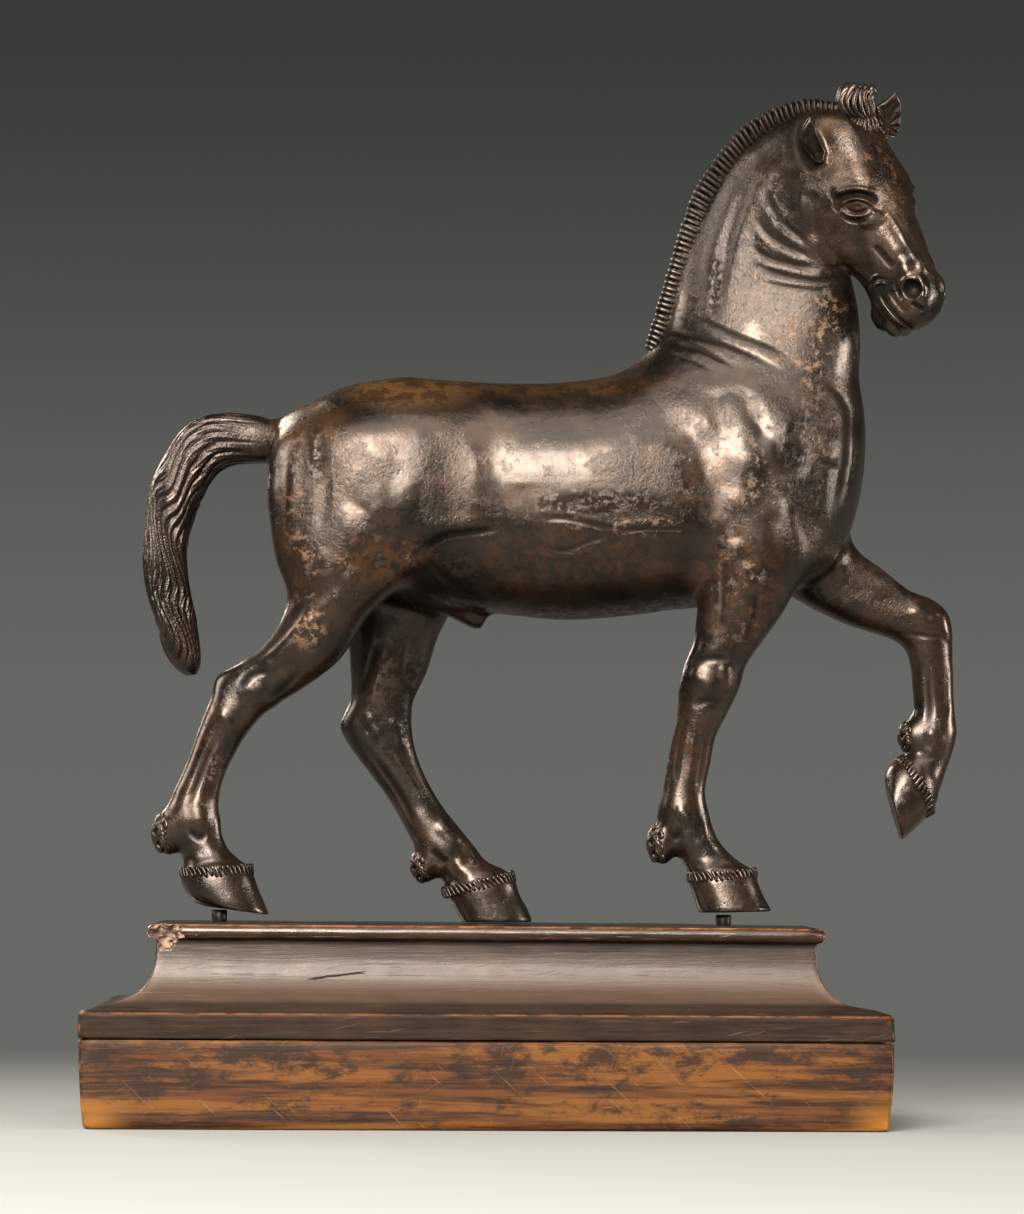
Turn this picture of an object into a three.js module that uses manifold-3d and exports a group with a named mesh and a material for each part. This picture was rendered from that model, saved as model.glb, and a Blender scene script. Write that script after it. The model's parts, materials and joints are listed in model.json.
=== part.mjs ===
// A pacing horse in cast bronze on a moulded wooden plinth.
// Millimetres. The origin is the centre of the plinth's underside, +X is the way the horse faces, +Z is up.
// The near side is -Y, the horse's right.

import * as THREE from "three";
import { mergeVertices } from "three/addons/utils/BufferGeometryUtils.js";
import Module from "manifold-3d";

// Plinth
const PLINTH_LENGTH = 222;
const PLINTH_DEPTH = 108;
const BASE_TOP = 24.15;
const BASE_TAPER = 1.3; // each end of the base block is this much shorter at the floor
const JOINT_GAP = 0.3;
const FASCIA_TOP = 30.9;
const CHAMFER = 1.3; // worn slope above the fascia
const FILLET_INSET = 3.3;
const FILLET_TOP = 33.25;
const NECK_INSET = 20.3; // the narrowest place, under the bead
const NECK_HEIGHT = 49.5;
const HOLLOW_SQUARENESS = 2.6; // 2 would be a quarter of an ellipse
const BEAD_RADIUS = 2.15;
const BEAD_INSET = 19.95; // of the bead's centre line
const PLINTH_TOP = 55.2;
const HOLLOW_STEPS = 9;
const BEAD_STEPS = 7;
const BASE_SLOPE = -0.0013; // the old wood is out of true: heights change this much a millimetre of length
const TOP_SLOPE = -0.0029;
const SAG_START = 0.45; // the far right corner has sunk, from this share of the half length on
const LOW_SAG = 2.7; // at the joint
const TOP_SAG = 0.8;
const CHIP = { x: -88.4, y: -36.4, z: 51.9, length: 11, depth: 7, height: 8, turn: 18 };

// Pegs
const PEG_RADIUS = 2.15;
const PEG_SIDES = 12;
const PEG_GAP = 0.3;
const HIND_PEG = { x: -73.9, y: -15, sole: 59.35 };
const FORE_PEG = { x: 65.8, y: -15, sole: 58.5 };

// The horse's sections are drawn level, and the casting stands leaning back by this much on its plinth
const HORSE_LEAN = 0.245; // degrees
const HORSE_SHIFT = new THREE.Vector3(0.62, 0, -0.68);

// Head: its own frame has u down the face from the poll, v to the far side, w out of the forehead
const POLL = new THREE.Vector3(102.8, -12, 276.9);
const HEAD_YAW = 26; // degrees turned towards the near side
const HEAD_PITCH = 60.5; // degrees nose down
const HEAD_ROLL = 13; // degrees, far side raised

const MANE_HALF_WIDTH = 1.9;

// Points round each loft
const TRUNK_SIDES = 22;
const NECK_SIDES = 18;
const HEAD_SIDES = 18;
const LIMB_SIDES = 12;
const TAIL_SIDES = 10;
const SMALL_SIDES = 10;
const MANE_SIDES = 8;

const radians = THREE.MathUtils.degToRad;
const wasm = await Module();
wasm.setup();

// A section of a loft: two outline points in the x-z plane, the middle y and the half-width across.
// egg is how much wider the first point's side is than the second's, square is the outline's exponent
// (2 is an ellipse), and turn is how far the second point lies beyond the first along y.
function section([ax, az], [bx, bz], y, half, { egg = 0, square = 2.2, turn = 0 } = {}) {
  return [ax, y - turn / 2, az, bx, y + turn / 2, bz, half, egg, square];
}

// The value of smoothly joined rows of numbers at t, where row i is met at t = i.
function between(rows, t) {
  const i = Math.min(Math.floor(t), rows.length - 2);
  const f = t - i;
  const row = (k) => rows[Math.min(Math.max(i + k, 0), rows.length - 1)];
  return row(0).map((value, j) => {
    const next = row(1)[j];
    const slopeHere = (next - row(-1)[j]) / 2;
    const slopeNext = (row(2)[j] - value) / 2;
    const bend = 3 * (next - value) - 2 * slopeHere - slopeNext;
    const twist = 2 * (value - next) + slopeHere + slopeNext;
    return value + f * (slopeHere + f * (bend + f * twist));
  });
}

// One ring of points round a section.
function ringPoints([ax, ay, az, bx, by, bz, half, egg, square], sides) {
  const first = new THREE.Vector3(ax, ay, az);
  const second = new THREE.Vector3(bx, by, bz);
  const middle = first.clone().lerp(second, 0.5);
  const reach = first.clone().sub(middle);
  const out = reach.clone().normalize();
  const aside = new THREE.Vector3(0, 1, 0).addScaledVector(out, -out.y).normalize();
  const ring = [];
  for (let k = 0; k < sides; k++) {
    const angle = (2 * Math.PI * k) / sides;
    const cos = Math.cos(angle);
    const sin = Math.sin(angle);
    const along = Math.sign(cos) * Math.abs(cos) ** (2 / square);
    const across = Math.sign(sin) * Math.abs(sin) ** (2 / square) * (1 + egg * along);
    ring.push(middle.clone().addScaledVector(reach, along).addScaledVector(aside, across * half));
  }
  return ring;
}

// A closed skin over rings of equal point counts, with a fan over each end.
function skin(rings) {
  const sides = rings[0].length;
  const points = rings.flat();
  const middle = (ring) => ring.reduce((sum, p) => sum.add(p), new THREE.Vector3()).divideScalar(sides);
  const first = points.push(middle(rings[0])) - 1;
  const last = points.push(middle(rings[rings.length - 1])) - 1;
  const faces = [];
  for (let k = 0; k < sides; k++) {
    const next = (k + 1) % sides;
    faces.push(first, next, k);
    for (let r = 0; r + 1 < rings.length; r++) {
      const low = r * sides;
      const high = low + sides;
      faces.push(low + k, low + next, high + next, low + k, high + next, high + k);
    }
    const end = (rings.length - 1) * sides;
    faces.push(last, end + k, end + next);
  }
  return { points, faces };
}

// A solid from points and faces, turned right side out.
function solidOf({ points, faces }) {
  const volume = (list) => {
    let sum = 0;
    for (let i = 0; i < list.length; i += 3) {
      const [a, b, c] = [list[i], list[i + 1], list[i + 2]].map((k) => points[k]);
      sum += a.dot(new THREE.Vector3().crossVectors(b, c));
    }
    return sum;
  };
  const outward = volume(faces) > 0 ? faces : [...faces].reverse();
  const geometry = new THREE.BufferGeometry().setFromPoints(points).setIndex(outward);
  return solidFrom(geometry);
}

// A closed three.js geometry as a solid that can be joined and cut.
function solidFrom(geometry) {
  const bare = geometry.clone();
  bare.deleteAttribute("normal");
  bare.deleteAttribute("uv");
  const merged = mergeVertices(bare, 1e-4);
  const mesh = new wasm.Mesh({
    numProp: 3,
    vertProperties: merged.attributes.position.array,
    triVerts: new Uint32Array(merged.index.array),
  });
  return new wasm.Manifold(mesh);
}

// A solid back as a three.js geometry with flat faces.
function geometryFrom(solid) {
  const mesh = solid.getMesh();
  const geometry = new THREE.BufferGeometry();
  geometry.setAttribute("position", new THREE.BufferAttribute(new Float32Array(mesh.vertProperties), 3));
  geometry.setIndex(new THREE.BufferAttribute(new Uint32Array(mesh.triVerts), 1));
  geometry.computeVertexNormals();
  return geometry;
}

// A loft through sections, with a number of rings between each two, placed by an optional matrix.
function loft(sections, { sides = 16, steps = 2, matrix = new THREE.Matrix4() } = {}) {
  const rings = [];
  const count = (sections.length - 1) * steps;
  for (let i = 0; i <= count; i++) {
    const ring = ringPoints(between(sections, i / steps), sides);
    rings.push(ring.map((point) => point.applyMatrix4(matrix)));
  }
  return solidOf(skin(rings));
}

// An egg-shaped lump.
function lump([x, y, z], [rx, ry, rz], matrix = new THREE.Matrix4()) {
  const ball = new THREE.SphereGeometry(1, 8, 6);
  ball.scale(rx, ry, rz).translate(x, y, z).applyMatrix4(matrix);
  return solidFrom(ball);
}

// Trunk from the rump to the breast: the first point is the back line, the second the belly line.
const TRUNK = [
  section([-59.5, 193], [-59.5, 176], 0, 7),
  section([-56, 198.2], [-57, 168], 0, 15),
  section([-49, 202], [-50, 158], 0, 20.5),
  section([-38, 206.5], [-38, 151], 0, 25, { egg: 0.05 }),
  section([-24, 208.8], [-24, 146.5], 0, 27, { egg: 0.05 }),
  section([-9, 207.8], [-9, 144], 0, 26.8, { egg: 0.02 }),
  section([6, 207.1], [6, 142.3], 0, 27),
  section([21, 207.4], [21, 140.9], 0, 28.6, { egg: -0.04 }),
  section([36, 209.6], [37, 141.9], 0, 29.2, { egg: -0.06 }),
  section([49, 214.5], [52, 143.7], 0, 28.2, { egg: -0.12 }),
  section([62, 218], [66, 145], 0, 26.6, { egg: -0.16 }),
  section([75, 218], [78, 147], 0, 24.6, { egg: -0.16 }),
  section([87, 214], [88, 151], 0, 21.5, { egg: -0.12 }),
  section([96, 208], [96, 156], 0, 17, { egg: -0.05 }),
  section([101.5, 202], [100.6, 164], 0, 11.5),
  section([103.6, 195], [102.6, 174], 0, 5),
];

// Neck: the first point is the crest under the mane, the second the throat line.
const NECK = [
  section([43, 208], [98, 168], 0, 23, { egg: -0.2 }),
  section([46.5, 215], [102.5, 178], 0, 22, { egg: -0.3 }),
  section([50.5, 224], [104.1, 191], 0, 19, { egg: -0.36 }),
  section([53.2, 232.5], [103.9, 204], -0.2, 15.8, { egg: -0.38 }),
  section([56.2, 242], [104.6, 216], -0.8, 13, { egg: -0.36, turn: -1.5 }),
  section([60.4, 253], [103.8, 228], -1.8, 11, { egg: -0.32, turn: -4 }),
  section([65.8, 264], [101.3, 238.5], -3.4, 9.8, { egg: -0.26, turn: -6 }),
  section([72.5, 272.5], [99.5, 248], -5.6, 9.2, { egg: -0.2, turn: -7.5 }),
  section([81, 279.5], [99, 256], -8, 8.8, { egg: -0.12, turn: -7 }),
  section([91, 283], [103, 262], -10.4, 8.4, { turn: -5 }),
  section([99, 282], [106, 266], -12, 7.5, { turn: -3 }),
];

// Roached mane: the first point is the free edge, the second is under the skin of the crest.
const MANE = [
  section([44.2, 217.6], [50.5, 214], 0, MANE_HALF_WIDTH),
  section([45.8, 223], [53, 220], 0, MANE_HALF_WIDTH),
  section([48.4, 231.6], [56, 229.5], 0, MANE_HALF_WIDTH),
  section([51.3, 242.5], [58.6, 240], 0, MANE_HALF_WIDTH),
  section([55.5, 255], [63, 251.5], 0.2, MANE_HALF_WIDTH),
  section([61.7, 266.7], [68.5, 262], -0.4, MANE_HALF_WIDTH),
  section([69.8, 277], [75, 270.5], -1.8, MANE_HALF_WIDTH),
  section([79.7, 284.1], [83, 276.5], -4.5, MANE_HALF_WIDTH),
  section([89.5, 287], [90.5, 279], -7.9, MANE_HALF_WIDTH),
  section([98.3, 286.2], [98, 278], -10.5, MANE_HALF_WIDTH),
];

// Tail: the first point is the outer edge, the second the inner edge.
const TAIL = [
  section([-50, 197], [-50, 186], 0, 5.5),
  section([-59, 197.2], [-59.5, 184], 0, 6.4),
  section([-65.5, 198.3], [-65.5, 184.6], 0, 6.4),
  section([-72.5, 198.7], [-71, 184.3], 0, 6.8),
  section([-79.8, 197.5], [-75, 182.4], 0, 7.1),
  section([-86, 193.4], [-78.2, 178.6], 0, 7.3),
  section([-91.1, 185.6], [-80.5, 174], 0, 7.4),
  section([-94.2, 177], [-82.4, 168.6], 0, 7.4),
  section([-95.2, 167], [-83.6, 162.5], 0, 7.3),
  section([-95.9, 156], [-84, 155.5], 0, 7.1),
  section([-94.9, 147.5], [-83.2, 147.5], 0, 6.9),
  section([-92.3, 138.8], [-81.7, 140.5], 0, 6.4),
  section([-89.6, 131.6], [-80.5, 133], 0, 5.5),
  section([-86.7, 127.2], [-80, 128.3], 0, 4),
  section([-84, 125.3], [-81.2, 125.6], 0, 1.6),
];

// Near hind leg from the haunch to the sole: rear outline point, then front outline point.
const NEAR_HIND = [
  section([-44, 198], [-14, 200], -10, 12),
  section([-57, 191], [0, 193], -12.5, 14.8),
  section([-60.8, 179], [5, 180], -14.4, 14.2),
  section([-60.4, 167], [3, 167], -15.2, 13.3, { egg: 0.06 }),
  section([-58.6, 157], [-12, 161], -15.6, 12, { egg: 0.08 }),
  section([-55.6, 147.5], [-24.8, 149.3], -15.8, 10.6),
  section([-57.6, 139.8], [-33.5, 140.8], -15.8, 9.2),
  section([-63.4, 132.6], [-41, 129.4], -15.6, 7.6),
  section([-69.2, 128.4], [-51, 121.6], -15.3, 6.3),
  section([-75, 124.6], [-60.8, 115.3], -15, 5.6, { egg: -0.1 }),
  section([-77, 118.2], [-66.2, 109.4], -14.9, 5.6),
  section([-79.8, 110.8], [-69.9, 103.6], -14.8, 4.9),
  section([-83.6, 100.3], [-73.1, 97], -14.8, 4.4),
  section([-87.4, 91.8], [-74.6, 90], -14.8, 4.7),
  section([-89, 85], [-74.2, 84.6], -14.8, 5.4),
  section([-86.4, 79], [-73.5, 79.5], -14.9, 5),
  section([-84.4, 74.8], [-70.6, 75.4], -15, 5.2),
  section([-84.2, 71.6], [-66.4, 72.2], -15, 7.2),
  section([-84.9, 69.2], [-65, 70], -15, 8, { square: 2.4 }),
  section([-83.9, 65.6], [-63.6, 66.2], -15, 8.4, { square: 2.4 }),
  section([-81.2, 62.3], [-61.6, 61.6], -15, 8.7, { square: 2.4 }),
  section([-78, 61.1], [-60.5, 58.7], -15, 8.4, { square: 2.4 }),
];

// Far hind leg, forward under the belly with its hoof flat on the plinth.
const FAR_HIND = [
  section([-40, 198], [-10, 201], 10, 12),
  section([-54, 190], [3, 193], 12.5, 14.8),
  section([-57, 177], [8, 178], 14.4, 14.2),
  section([-52, 163], [6, 164], 15.2, 13),
  section([-44.5, 149], [-6, 150], 15.3, 11),
  section([-39.6, 137], [-13, 138], 15, 9.2),
  section([-38.3, 126.5], [-16.8, 127], 14.6, 7.7),
  section([-38.6, 118.5], [-20.4, 119], 14.3, 6.6),
  section([-41.2, 111.5], [-21.2, 112.5], 14, 5.8, { egg: -0.1 }),
  section([-38.2, 105], [-20.2, 104.8], 14, 5.4),
  section([-32.8, 98], [-17.2, 97], 14, 4.9),
  section([-27.2, 90.2], [-12.7, 89], 14, 4.5),
  section([-22.9, 82.6], [-8, 83.2], 14, 4.8),
  section([-19.3, 76], [-3.5, 77.5], 14, 5.4),
  section([-14.9, 70.6], [-0.2, 73.4], 14, 5.1),
  section([-12.1, 67.6], [4.6, 71.1], 14, 6.2),
  section([-11.9, 64.2], [7.7, 68.6], 14, 7.9, { square: 2.4 }),
  section([-10.2, 61.8], [9.2, 64], 14, 8.3, { square: 2.4 }),
  section([-8.3, 58.6], [11.4, 60], 14, 8.7, { square: 2.4 }),
  section([-7, 56.2], [13, 56.2], 14, 9, { square: 2.4 }),
];

// Near fore leg, upright, from the shoulder to the sole.
const NEAR_FORE = [
  section([52, 202], [88, 206], -10, 11),
  section([54, 188], [99, 192], -13, 12),
  section([57.5, 173], [98.5, 175], -15.4, 11.2),
  section([59.2, 161], [93, 160], -16.4, 10.4),
  section([59.2, 150.5], [86, 149.5], -16.6, 9.4),
  section([58.1, 142], [81.4, 141.6], -16.5, 8.2),
  section([57, 134.5], [76.4, 134.6], -16.2, 7.1),
  section([54.8, 128.3], [71.7, 127.8], -16, 6.7),
  section([53, 121.8], [69.9, 121.6], -15.9, 6.5),
  section([52.7, 115], [66.6, 114.4], -15.7, 5.6),
  section([51.4, 108.5], [63.4, 108], -15.5, 4.8),
  section([50, 101], [61.9, 101], -15.4, 4.4),
  section([48.7, 93.4], [60.4, 93.4], -15.3, 4.6),
  section([47.4, 86.4], [61.5, 86.4], -15.2, 5.3),
  section([49.6, 80], [63.8, 79.7], -15.1, 5.1),
  section([53.6, 74], [68.3, 74.7], -15, 5.1),
  section([55.8, 70], [73.6, 70.8], -15, 7.2),
  section([56, 67.4], [74.6, 68.4], -15, 8, { square: 2.4 }),
  section([57.1, 63.8], [76.4, 64], -15, 8.5, { square: 2.4 }),
  section([58.5, 59.3], [78.7, 59.8], -15, 9, { square: 2.4 }),
];

// Far fore leg, raised: forearm forward, cannon hanging, hoof flexed back with its toe down.
const FAR_FORE = [
  section([54, 188], [86, 204], 10, 11),
  section([64, 170], [97, 188], 13.5, 11.6),
  section([78, 154], [101.5, 169.5], 15.2, 10.6),
  section([89, 146.3], [105, 161], 15.8, 9.4),
  section([99.8, 140.9], [112.2, 155.4], 16, 8.2),
  section([108.7, 137.8], [119, 150], 16, 7.2),
  section([114.9, 135.7], [126.2, 147], 16, 6.8),
  section([118.4, 132.8], [130.8, 142.4], 16, 6.5),
  section([119.8, 128.4], [131.6, 134.4], 16, 5.7),
  section([120.4, 121.5], [131.7, 122.4], 16, 4.8),
  section([120.7, 116.3], [132.2, 115.6], 16, 4.7),
  section([119.6, 110.2], [132.8, 109.2], 16, 5.4),
  section([119.6, 104.6], [131.7, 104.2], 16, 5.2),
  section([117.6, 102.6], [130, 99.4], 15.8, 5.6),
  section([115.8, 101.6], [127.8, 92.8], 15.6, 7.2),
  section([113.7, 100], [126.3, 88.4], 15.5, 8, { square: 2.4 }),
  section([112.6, 97.6], [122, 83.4], 15.4, 8.5, { square: 2.4 }),
  section([112.6, 95], [117.2, 78.9], 15.4, 8.7, { square: 2.4 }),
];

// Head in its own frame, from the poll to the lips: first point on the face, second on the jaw.
const HEAD = [
  section([-6, 0], [-4, -14], 0, 8),
  section([0, 3.8], [1, -19], 0, 10.4, { egg: 0.04, square: 2.9 }),
  section([7, 4.4], [7.5, -23], 0, 11, { egg: 0.1, square: 3 }),
  section([14, 4], [14, -25.6], 0, 11.8, { egg: 0.12, square: 3 }),
  section([20, 3], [20.5, -26.6], 0, 12, { egg: 0.12, square: 2.8 }),
  section([26, 1.8], [26, -26], 0, 10.4, { egg: 0.05, square: 2.8 }),
  section([31, 1.4], [31.5, -22.4], 0, 8.4, { egg: -0.04, square: 2.8 }),
  section([37, 0.8], [37, -20.4], 0, 7, { egg: -0.08, square: 2.8 }),
  section([43, 0.3], [42.5, -20.4], 0, 6.4, { egg: -0.1, square: 2.6 }),
  section([48, -0.6], [47.5, -22.2], 0, 6.5, { square: 2.4 }),
  section([52.5, -2.2], [51.5, -20.8], 0, 6.3, { egg: 0.05 }),
  section([55.5, -4.8], [54.6, -18], 0, 5, { egg: 0.05 }),
  section([57.2, -7.5], [56.6, -14], 0, 2.8),
];

// An ear leaf: base, middle and tip sections given as centre, half-width and half-thickness.
const NEAR_EAR = { base: [93, -13.6, 269.8], tip: [89.8, -16.3, 281], halfWidth: 3.1, halfThickness: 1.5 };
const FAR_EAR = { base: [111, -8.2, 276.4], tip: [114.6, -10.6, 287.8], halfWidth: 3.2, halfThickness: 1.5 };
const EAR_WIDTHS = [1, 1.12, 0.95, 0.6, 0.12];

// Where the small lumps of the casting sit.
const FETLOCK_TUFTS = [
  { at: [-89, -14.8, 80.4], size: [3.7, 4.2, 5.2] },
  { at: [-17.4, 14, 71.4], size: [3.4, 4.2, 4] },
  { at: [47.6, -15.2, 77.6], size: [3.5, 4.4, 5.4] },
  { at: [119.4, 16, 108], size: [2.9, 3.8, 4] },
];
const BROW_LUMP = { at: [17.2, 8.6, -0.6], size: [5, 3.6, 3.2] };
const EYE_LUMP = { at: [21.2, 10.2, -4.6], size: [3.6, 2, 2.8] };
const NOSTRIL_LUMP = { at: [48, 5.4, -5.8], size: [3.6, 2.2, 3.6] };
const SHEATH = [
  section([-20, 156], [-20, 144], 0, 4.5),
  section([-12, 153], [-12, 142.2], 0, 4.6),
  section([-5, 149], [-4.6, 138.7], 0, 4.2),
  section([-0.6, 145], [-2, 138.6], 0, 2),
];
const FORELOCK = [
  section([98, 275.6], [106.8, 277], -13, 3.4),
  section([99.8, 280.4], [107.6, 280.6], -12, 3),
  section([98.2, 284], [108.4, 284.6], -11.6, 3.8),
  section([98.6, 288], [109.4, 288.6], -11.4, 3.8),
  section([100.8, 291.2], [108, 291.4], -11.2, 2.4),
];

const headMatrix = new THREE.Matrix4()
  .makeTranslation(POLL)
  .multiply(new THREE.Matrix4().makeRotationZ(radians(-HEAD_YAW)))
  .multiply(new THREE.Matrix4().makeRotationY(radians(HEAD_PITCH)))
  .multiply(new THREE.Matrix4().makeRotationX(radians(HEAD_ROLL)));

// A pointed leaf that stands from base to tip, with its flat side towards -Y.
function ear({ base, tip, halfWidth, halfThickness }) {
  const from = new THREE.Vector3(...base);
  const to = new THREE.Vector3(...tip);
  const sections = EAR_WIDTHS.map((share, i) => {
    const p = from.clone().lerp(to, i / (EAR_WIDTHS.length - 1));
    const reach = halfWidth * share;
    return section([p.x - reach, p.z], [p.x + reach, p.z], p.y, Math.max(halfThickness * share, 0.5));
  });
  return loft(sections, { sides: SMALL_SIDES });
}

// The casting: every member joined to the trunk.
function horse() {
  const members = [
    loft(NECK, { sides: NECK_SIDES }),
    loft(MANE, { sides: MANE_SIDES }),
    loft(TAIL, { sides: TAIL_SIDES }),
    loft(NEAR_HIND, { sides: LIMB_SIDES }),
    loft(FAR_HIND, { sides: LIMB_SIDES }),
    loft(NEAR_FORE, { sides: LIMB_SIDES }),
    loft(FAR_FORE, { sides: LIMB_SIDES }),
    loft(HEAD, { sides: HEAD_SIDES, matrix: headMatrix }),
    loft(SHEATH, { sides: SMALL_SIDES }),
    loft(FORELOCK, { sides: SMALL_SIDES }),
    ear(NEAR_EAR),
    ear(FAR_EAR),
  ];
  for (const { at, size } of FETLOCK_TUFTS) members.push(lump(at, size));
  for (const { at, size } of [BROW_LUMP, EYE_LUMP, NOSTRIL_LUMP]) {
    for (const side of [-1, 1]) members.push(lump([at[0], side * at[1], at[2]], size, headMatrix));
  }
  return members.reduce((whole, member) => whole.add(member), loft(TRUNK, { sides: TRUNK_SIDES }));
}

// Heights drift along the plinth, from the joint line up to the top, and the far right corner has sunk.
function outOfTrue(x, y, z) {
  const share = THREE.MathUtils.clamp((z - BASE_TOP) / (PLINTH_TOP - BASE_TOP), 0, 1);
  const joint = THREE.MathUtils.clamp(z / BASE_TOP, 0, 1);
  const right = Math.max(x / (PLINTH_LENGTH / 2) - SAG_START, 0) / (1 - SAG_START);
  const back = y / PLINTH_DEPTH + 0.5;
  const drift = x * (joint * BASE_SLOPE + share * (TOP_SLOPE - BASE_SLOPE));
  return z + drift - right * back * joint * (LOW_SAG + share * (TOP_SAG - LOW_SAG));
}

// A closed block from rectangles: each level is its height and how far it stands in from the full plan.
function rectangleStack(levels) {
  const stations = [
    [-1, -1],
    [SAG_START, -1],
    [1, -1],
    [1, 1],
    [SAG_START, 1],
    [-1, 1],
  ];
  const rings = levels.map(({ inset, endInset = inset, z }) =>
    stations.map(([sx, sy]) => {
      const x = sx * (PLINTH_LENGTH / 2 - endInset);
      const y = sy * (PLINTH_DEPTH / 2 - inset);
      return new THREE.Vector3(x, y, outOfTrue(x, y, z));
    }),
  );
  return solidOf(skin(rings));
}

function plinthBase() {
  return rectangleStack([
    { inset: 0, endInset: BASE_TAPER, z: 0 },
    { inset: 0, z: BASE_TOP },
  ]);
}

function mouldedPlinth() {
  const levels = [
    { inset: 0, z: BASE_TOP + JOINT_GAP },
    { inset: 0, z: FASCIA_TOP },
    { inset: CHAMFER, z: FASCIA_TOP + CHAMFER },
    { inset: FILLET_INSET, z: FASCIA_TOP + CHAMFER },
  ];
  for (let i = 0; i <= HOLLOW_STEPS; i++) {
    const turn = (Math.PI / 2) * (i / HOLLOW_STEPS);
    levels.push({
      inset: FILLET_INSET + (NECK_INSET - FILLET_INSET) * Math.sin(turn) ** (2 / HOLLOW_SQUARENESS),
      z: NECK_HEIGHT - (NECK_HEIGHT - FILLET_TOP) * Math.cos(turn) ** (2 / HOLLOW_SQUARENESS),
    });
  }
  for (let i = 0; i <= BEAD_STEPS; i++) {
    const turn = Math.PI * (i / BEAD_STEPS - 0.5);
    levels.push({
      inset: BEAD_INSET - BEAD_RADIUS * Math.cos(turn),
      z: PLINTH_TOP - BEAD_RADIUS + BEAD_RADIUS * Math.sin(turn),
    });
  }
  return rectangleStack(levels).subtract(chip());
}

// The broken corner of the bead: a rough wedge.
function chip() {
  const rock = new THREE.IcosahedronGeometry(1, 0);
  rock.scale(CHIP.length / 2, CHIP.depth / 2, CHIP.height / 2).rotateY(radians(CHIP.turn));
  rock.translate(CHIP.x, CHIP.y, CHIP.z);
  return solidFrom(rock);
}

// A round peg from the plinth's top up to just under a sole.
function peg({ x, y, sole }) {
  const foot = outOfTrue(x, y, PLINTH_TOP) + PEG_GAP;
  const height = sole - PEG_GAP - foot;
  const geometry = new THREE.CylinderGeometry(PEG_RADIUS, PEG_RADIUS, height, PEG_SIDES);
  geometry.rotateX(Math.PI / 2).translate(x, y, foot + height / 2);
  return geometry;
}

function named(name, geometry, color, roughness, metalness) {
  const material = new THREE.MeshStandardMaterial({ color, roughness, metalness, flatShading: true });
  const mesh = new THREE.Mesh(geometry, material);
  mesh.name = name;
  return mesh;
}

const casting = geometryFrom(horse());
casting.rotateY(-radians(HORSE_LEAN)).translate(...HORSE_SHIFT);

const group = new THREE.Group();
group.add(
  named("bronze_horse", casting, 0x35291f, 0.38, 0.85),
  named("hind_peg", peg(HIND_PEG), 0x241f1c, 0.6, 0.5),
  named("fore_peg", peg(FORE_PEG), 0x241f1c, 0.6, 0.5),
  named("moulded_plinth", geometryFrom(mouldedPlinth()), 0x2a1b15, 0.4, 0),
  named("plinth_base", geometryFrom(plinthBase()), 0x7a4a22, 0.55, 0),
);

export default group;
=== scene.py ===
# %% [markdown]
# A pacing horse in cast bronze on a moulded wooden plinth.
#
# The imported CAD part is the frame: it settles where the horse, its two pegs and the two blocks of the
# plinth stand, and how large they are. This lesson gives them their looks. The horse is modelled again as
# a field of distances, which can be blended and carved much as a founder works a wax, and the plinth gets
# its worn edges.
#
# Sizes are in millimetres until a mesh is made, because that is how a maker thinks of them.

import json
import math

import bmesh
import bpy
import numpy as np
import openvdb as vdb
from mathutils import Matrix, Vector, noise
from mathutils.bvhtree import BVHTree

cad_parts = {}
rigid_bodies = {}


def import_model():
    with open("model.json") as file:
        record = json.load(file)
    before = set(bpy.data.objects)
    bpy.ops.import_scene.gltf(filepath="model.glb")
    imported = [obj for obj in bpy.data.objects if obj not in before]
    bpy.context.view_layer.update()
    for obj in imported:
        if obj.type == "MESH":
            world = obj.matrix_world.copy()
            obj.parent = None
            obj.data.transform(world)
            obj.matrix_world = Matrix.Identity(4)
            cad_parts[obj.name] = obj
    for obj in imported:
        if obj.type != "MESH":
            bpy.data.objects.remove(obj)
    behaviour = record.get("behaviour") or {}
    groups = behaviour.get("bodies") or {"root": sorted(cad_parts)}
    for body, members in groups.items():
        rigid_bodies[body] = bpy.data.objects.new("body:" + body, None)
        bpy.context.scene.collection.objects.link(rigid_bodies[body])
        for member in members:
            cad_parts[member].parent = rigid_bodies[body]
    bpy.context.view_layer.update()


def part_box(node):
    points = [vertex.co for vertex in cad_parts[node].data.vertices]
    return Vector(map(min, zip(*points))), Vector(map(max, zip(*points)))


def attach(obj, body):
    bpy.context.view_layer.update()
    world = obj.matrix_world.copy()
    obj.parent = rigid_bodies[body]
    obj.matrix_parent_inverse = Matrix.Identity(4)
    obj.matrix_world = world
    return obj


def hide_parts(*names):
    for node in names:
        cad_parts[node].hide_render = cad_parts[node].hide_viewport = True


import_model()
MM = 0.001

# %% [markdown]
# Sections
#
# A founder builds a wax horse over a few key sections. Each row below is one: two outline points in the
# x-z plane seen from the side, the middle y, and the half-width across, in millimetres. A smooth curve
# through the rows gives every ring between them. They follow the CAD part's outline row by row, with a few
# widths drawn in, and the rings are much finer.

# %% Sections and rings
LOFT_SIDES = 72
LOFT_STEPS = 8


def section(x, z, other_x, other_z, y, half, egg=0.0, square=2.2, turn=0.0):
    """A row: two outline points, middle y, half-width, egg (first side wider), squareness and twist."""
    return [x, y - turn / 2, z, other_x, y + turn / 2, other_z, half, egg, square]


def sections(*rows):
    return [section(*row) for row in rows]


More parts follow.
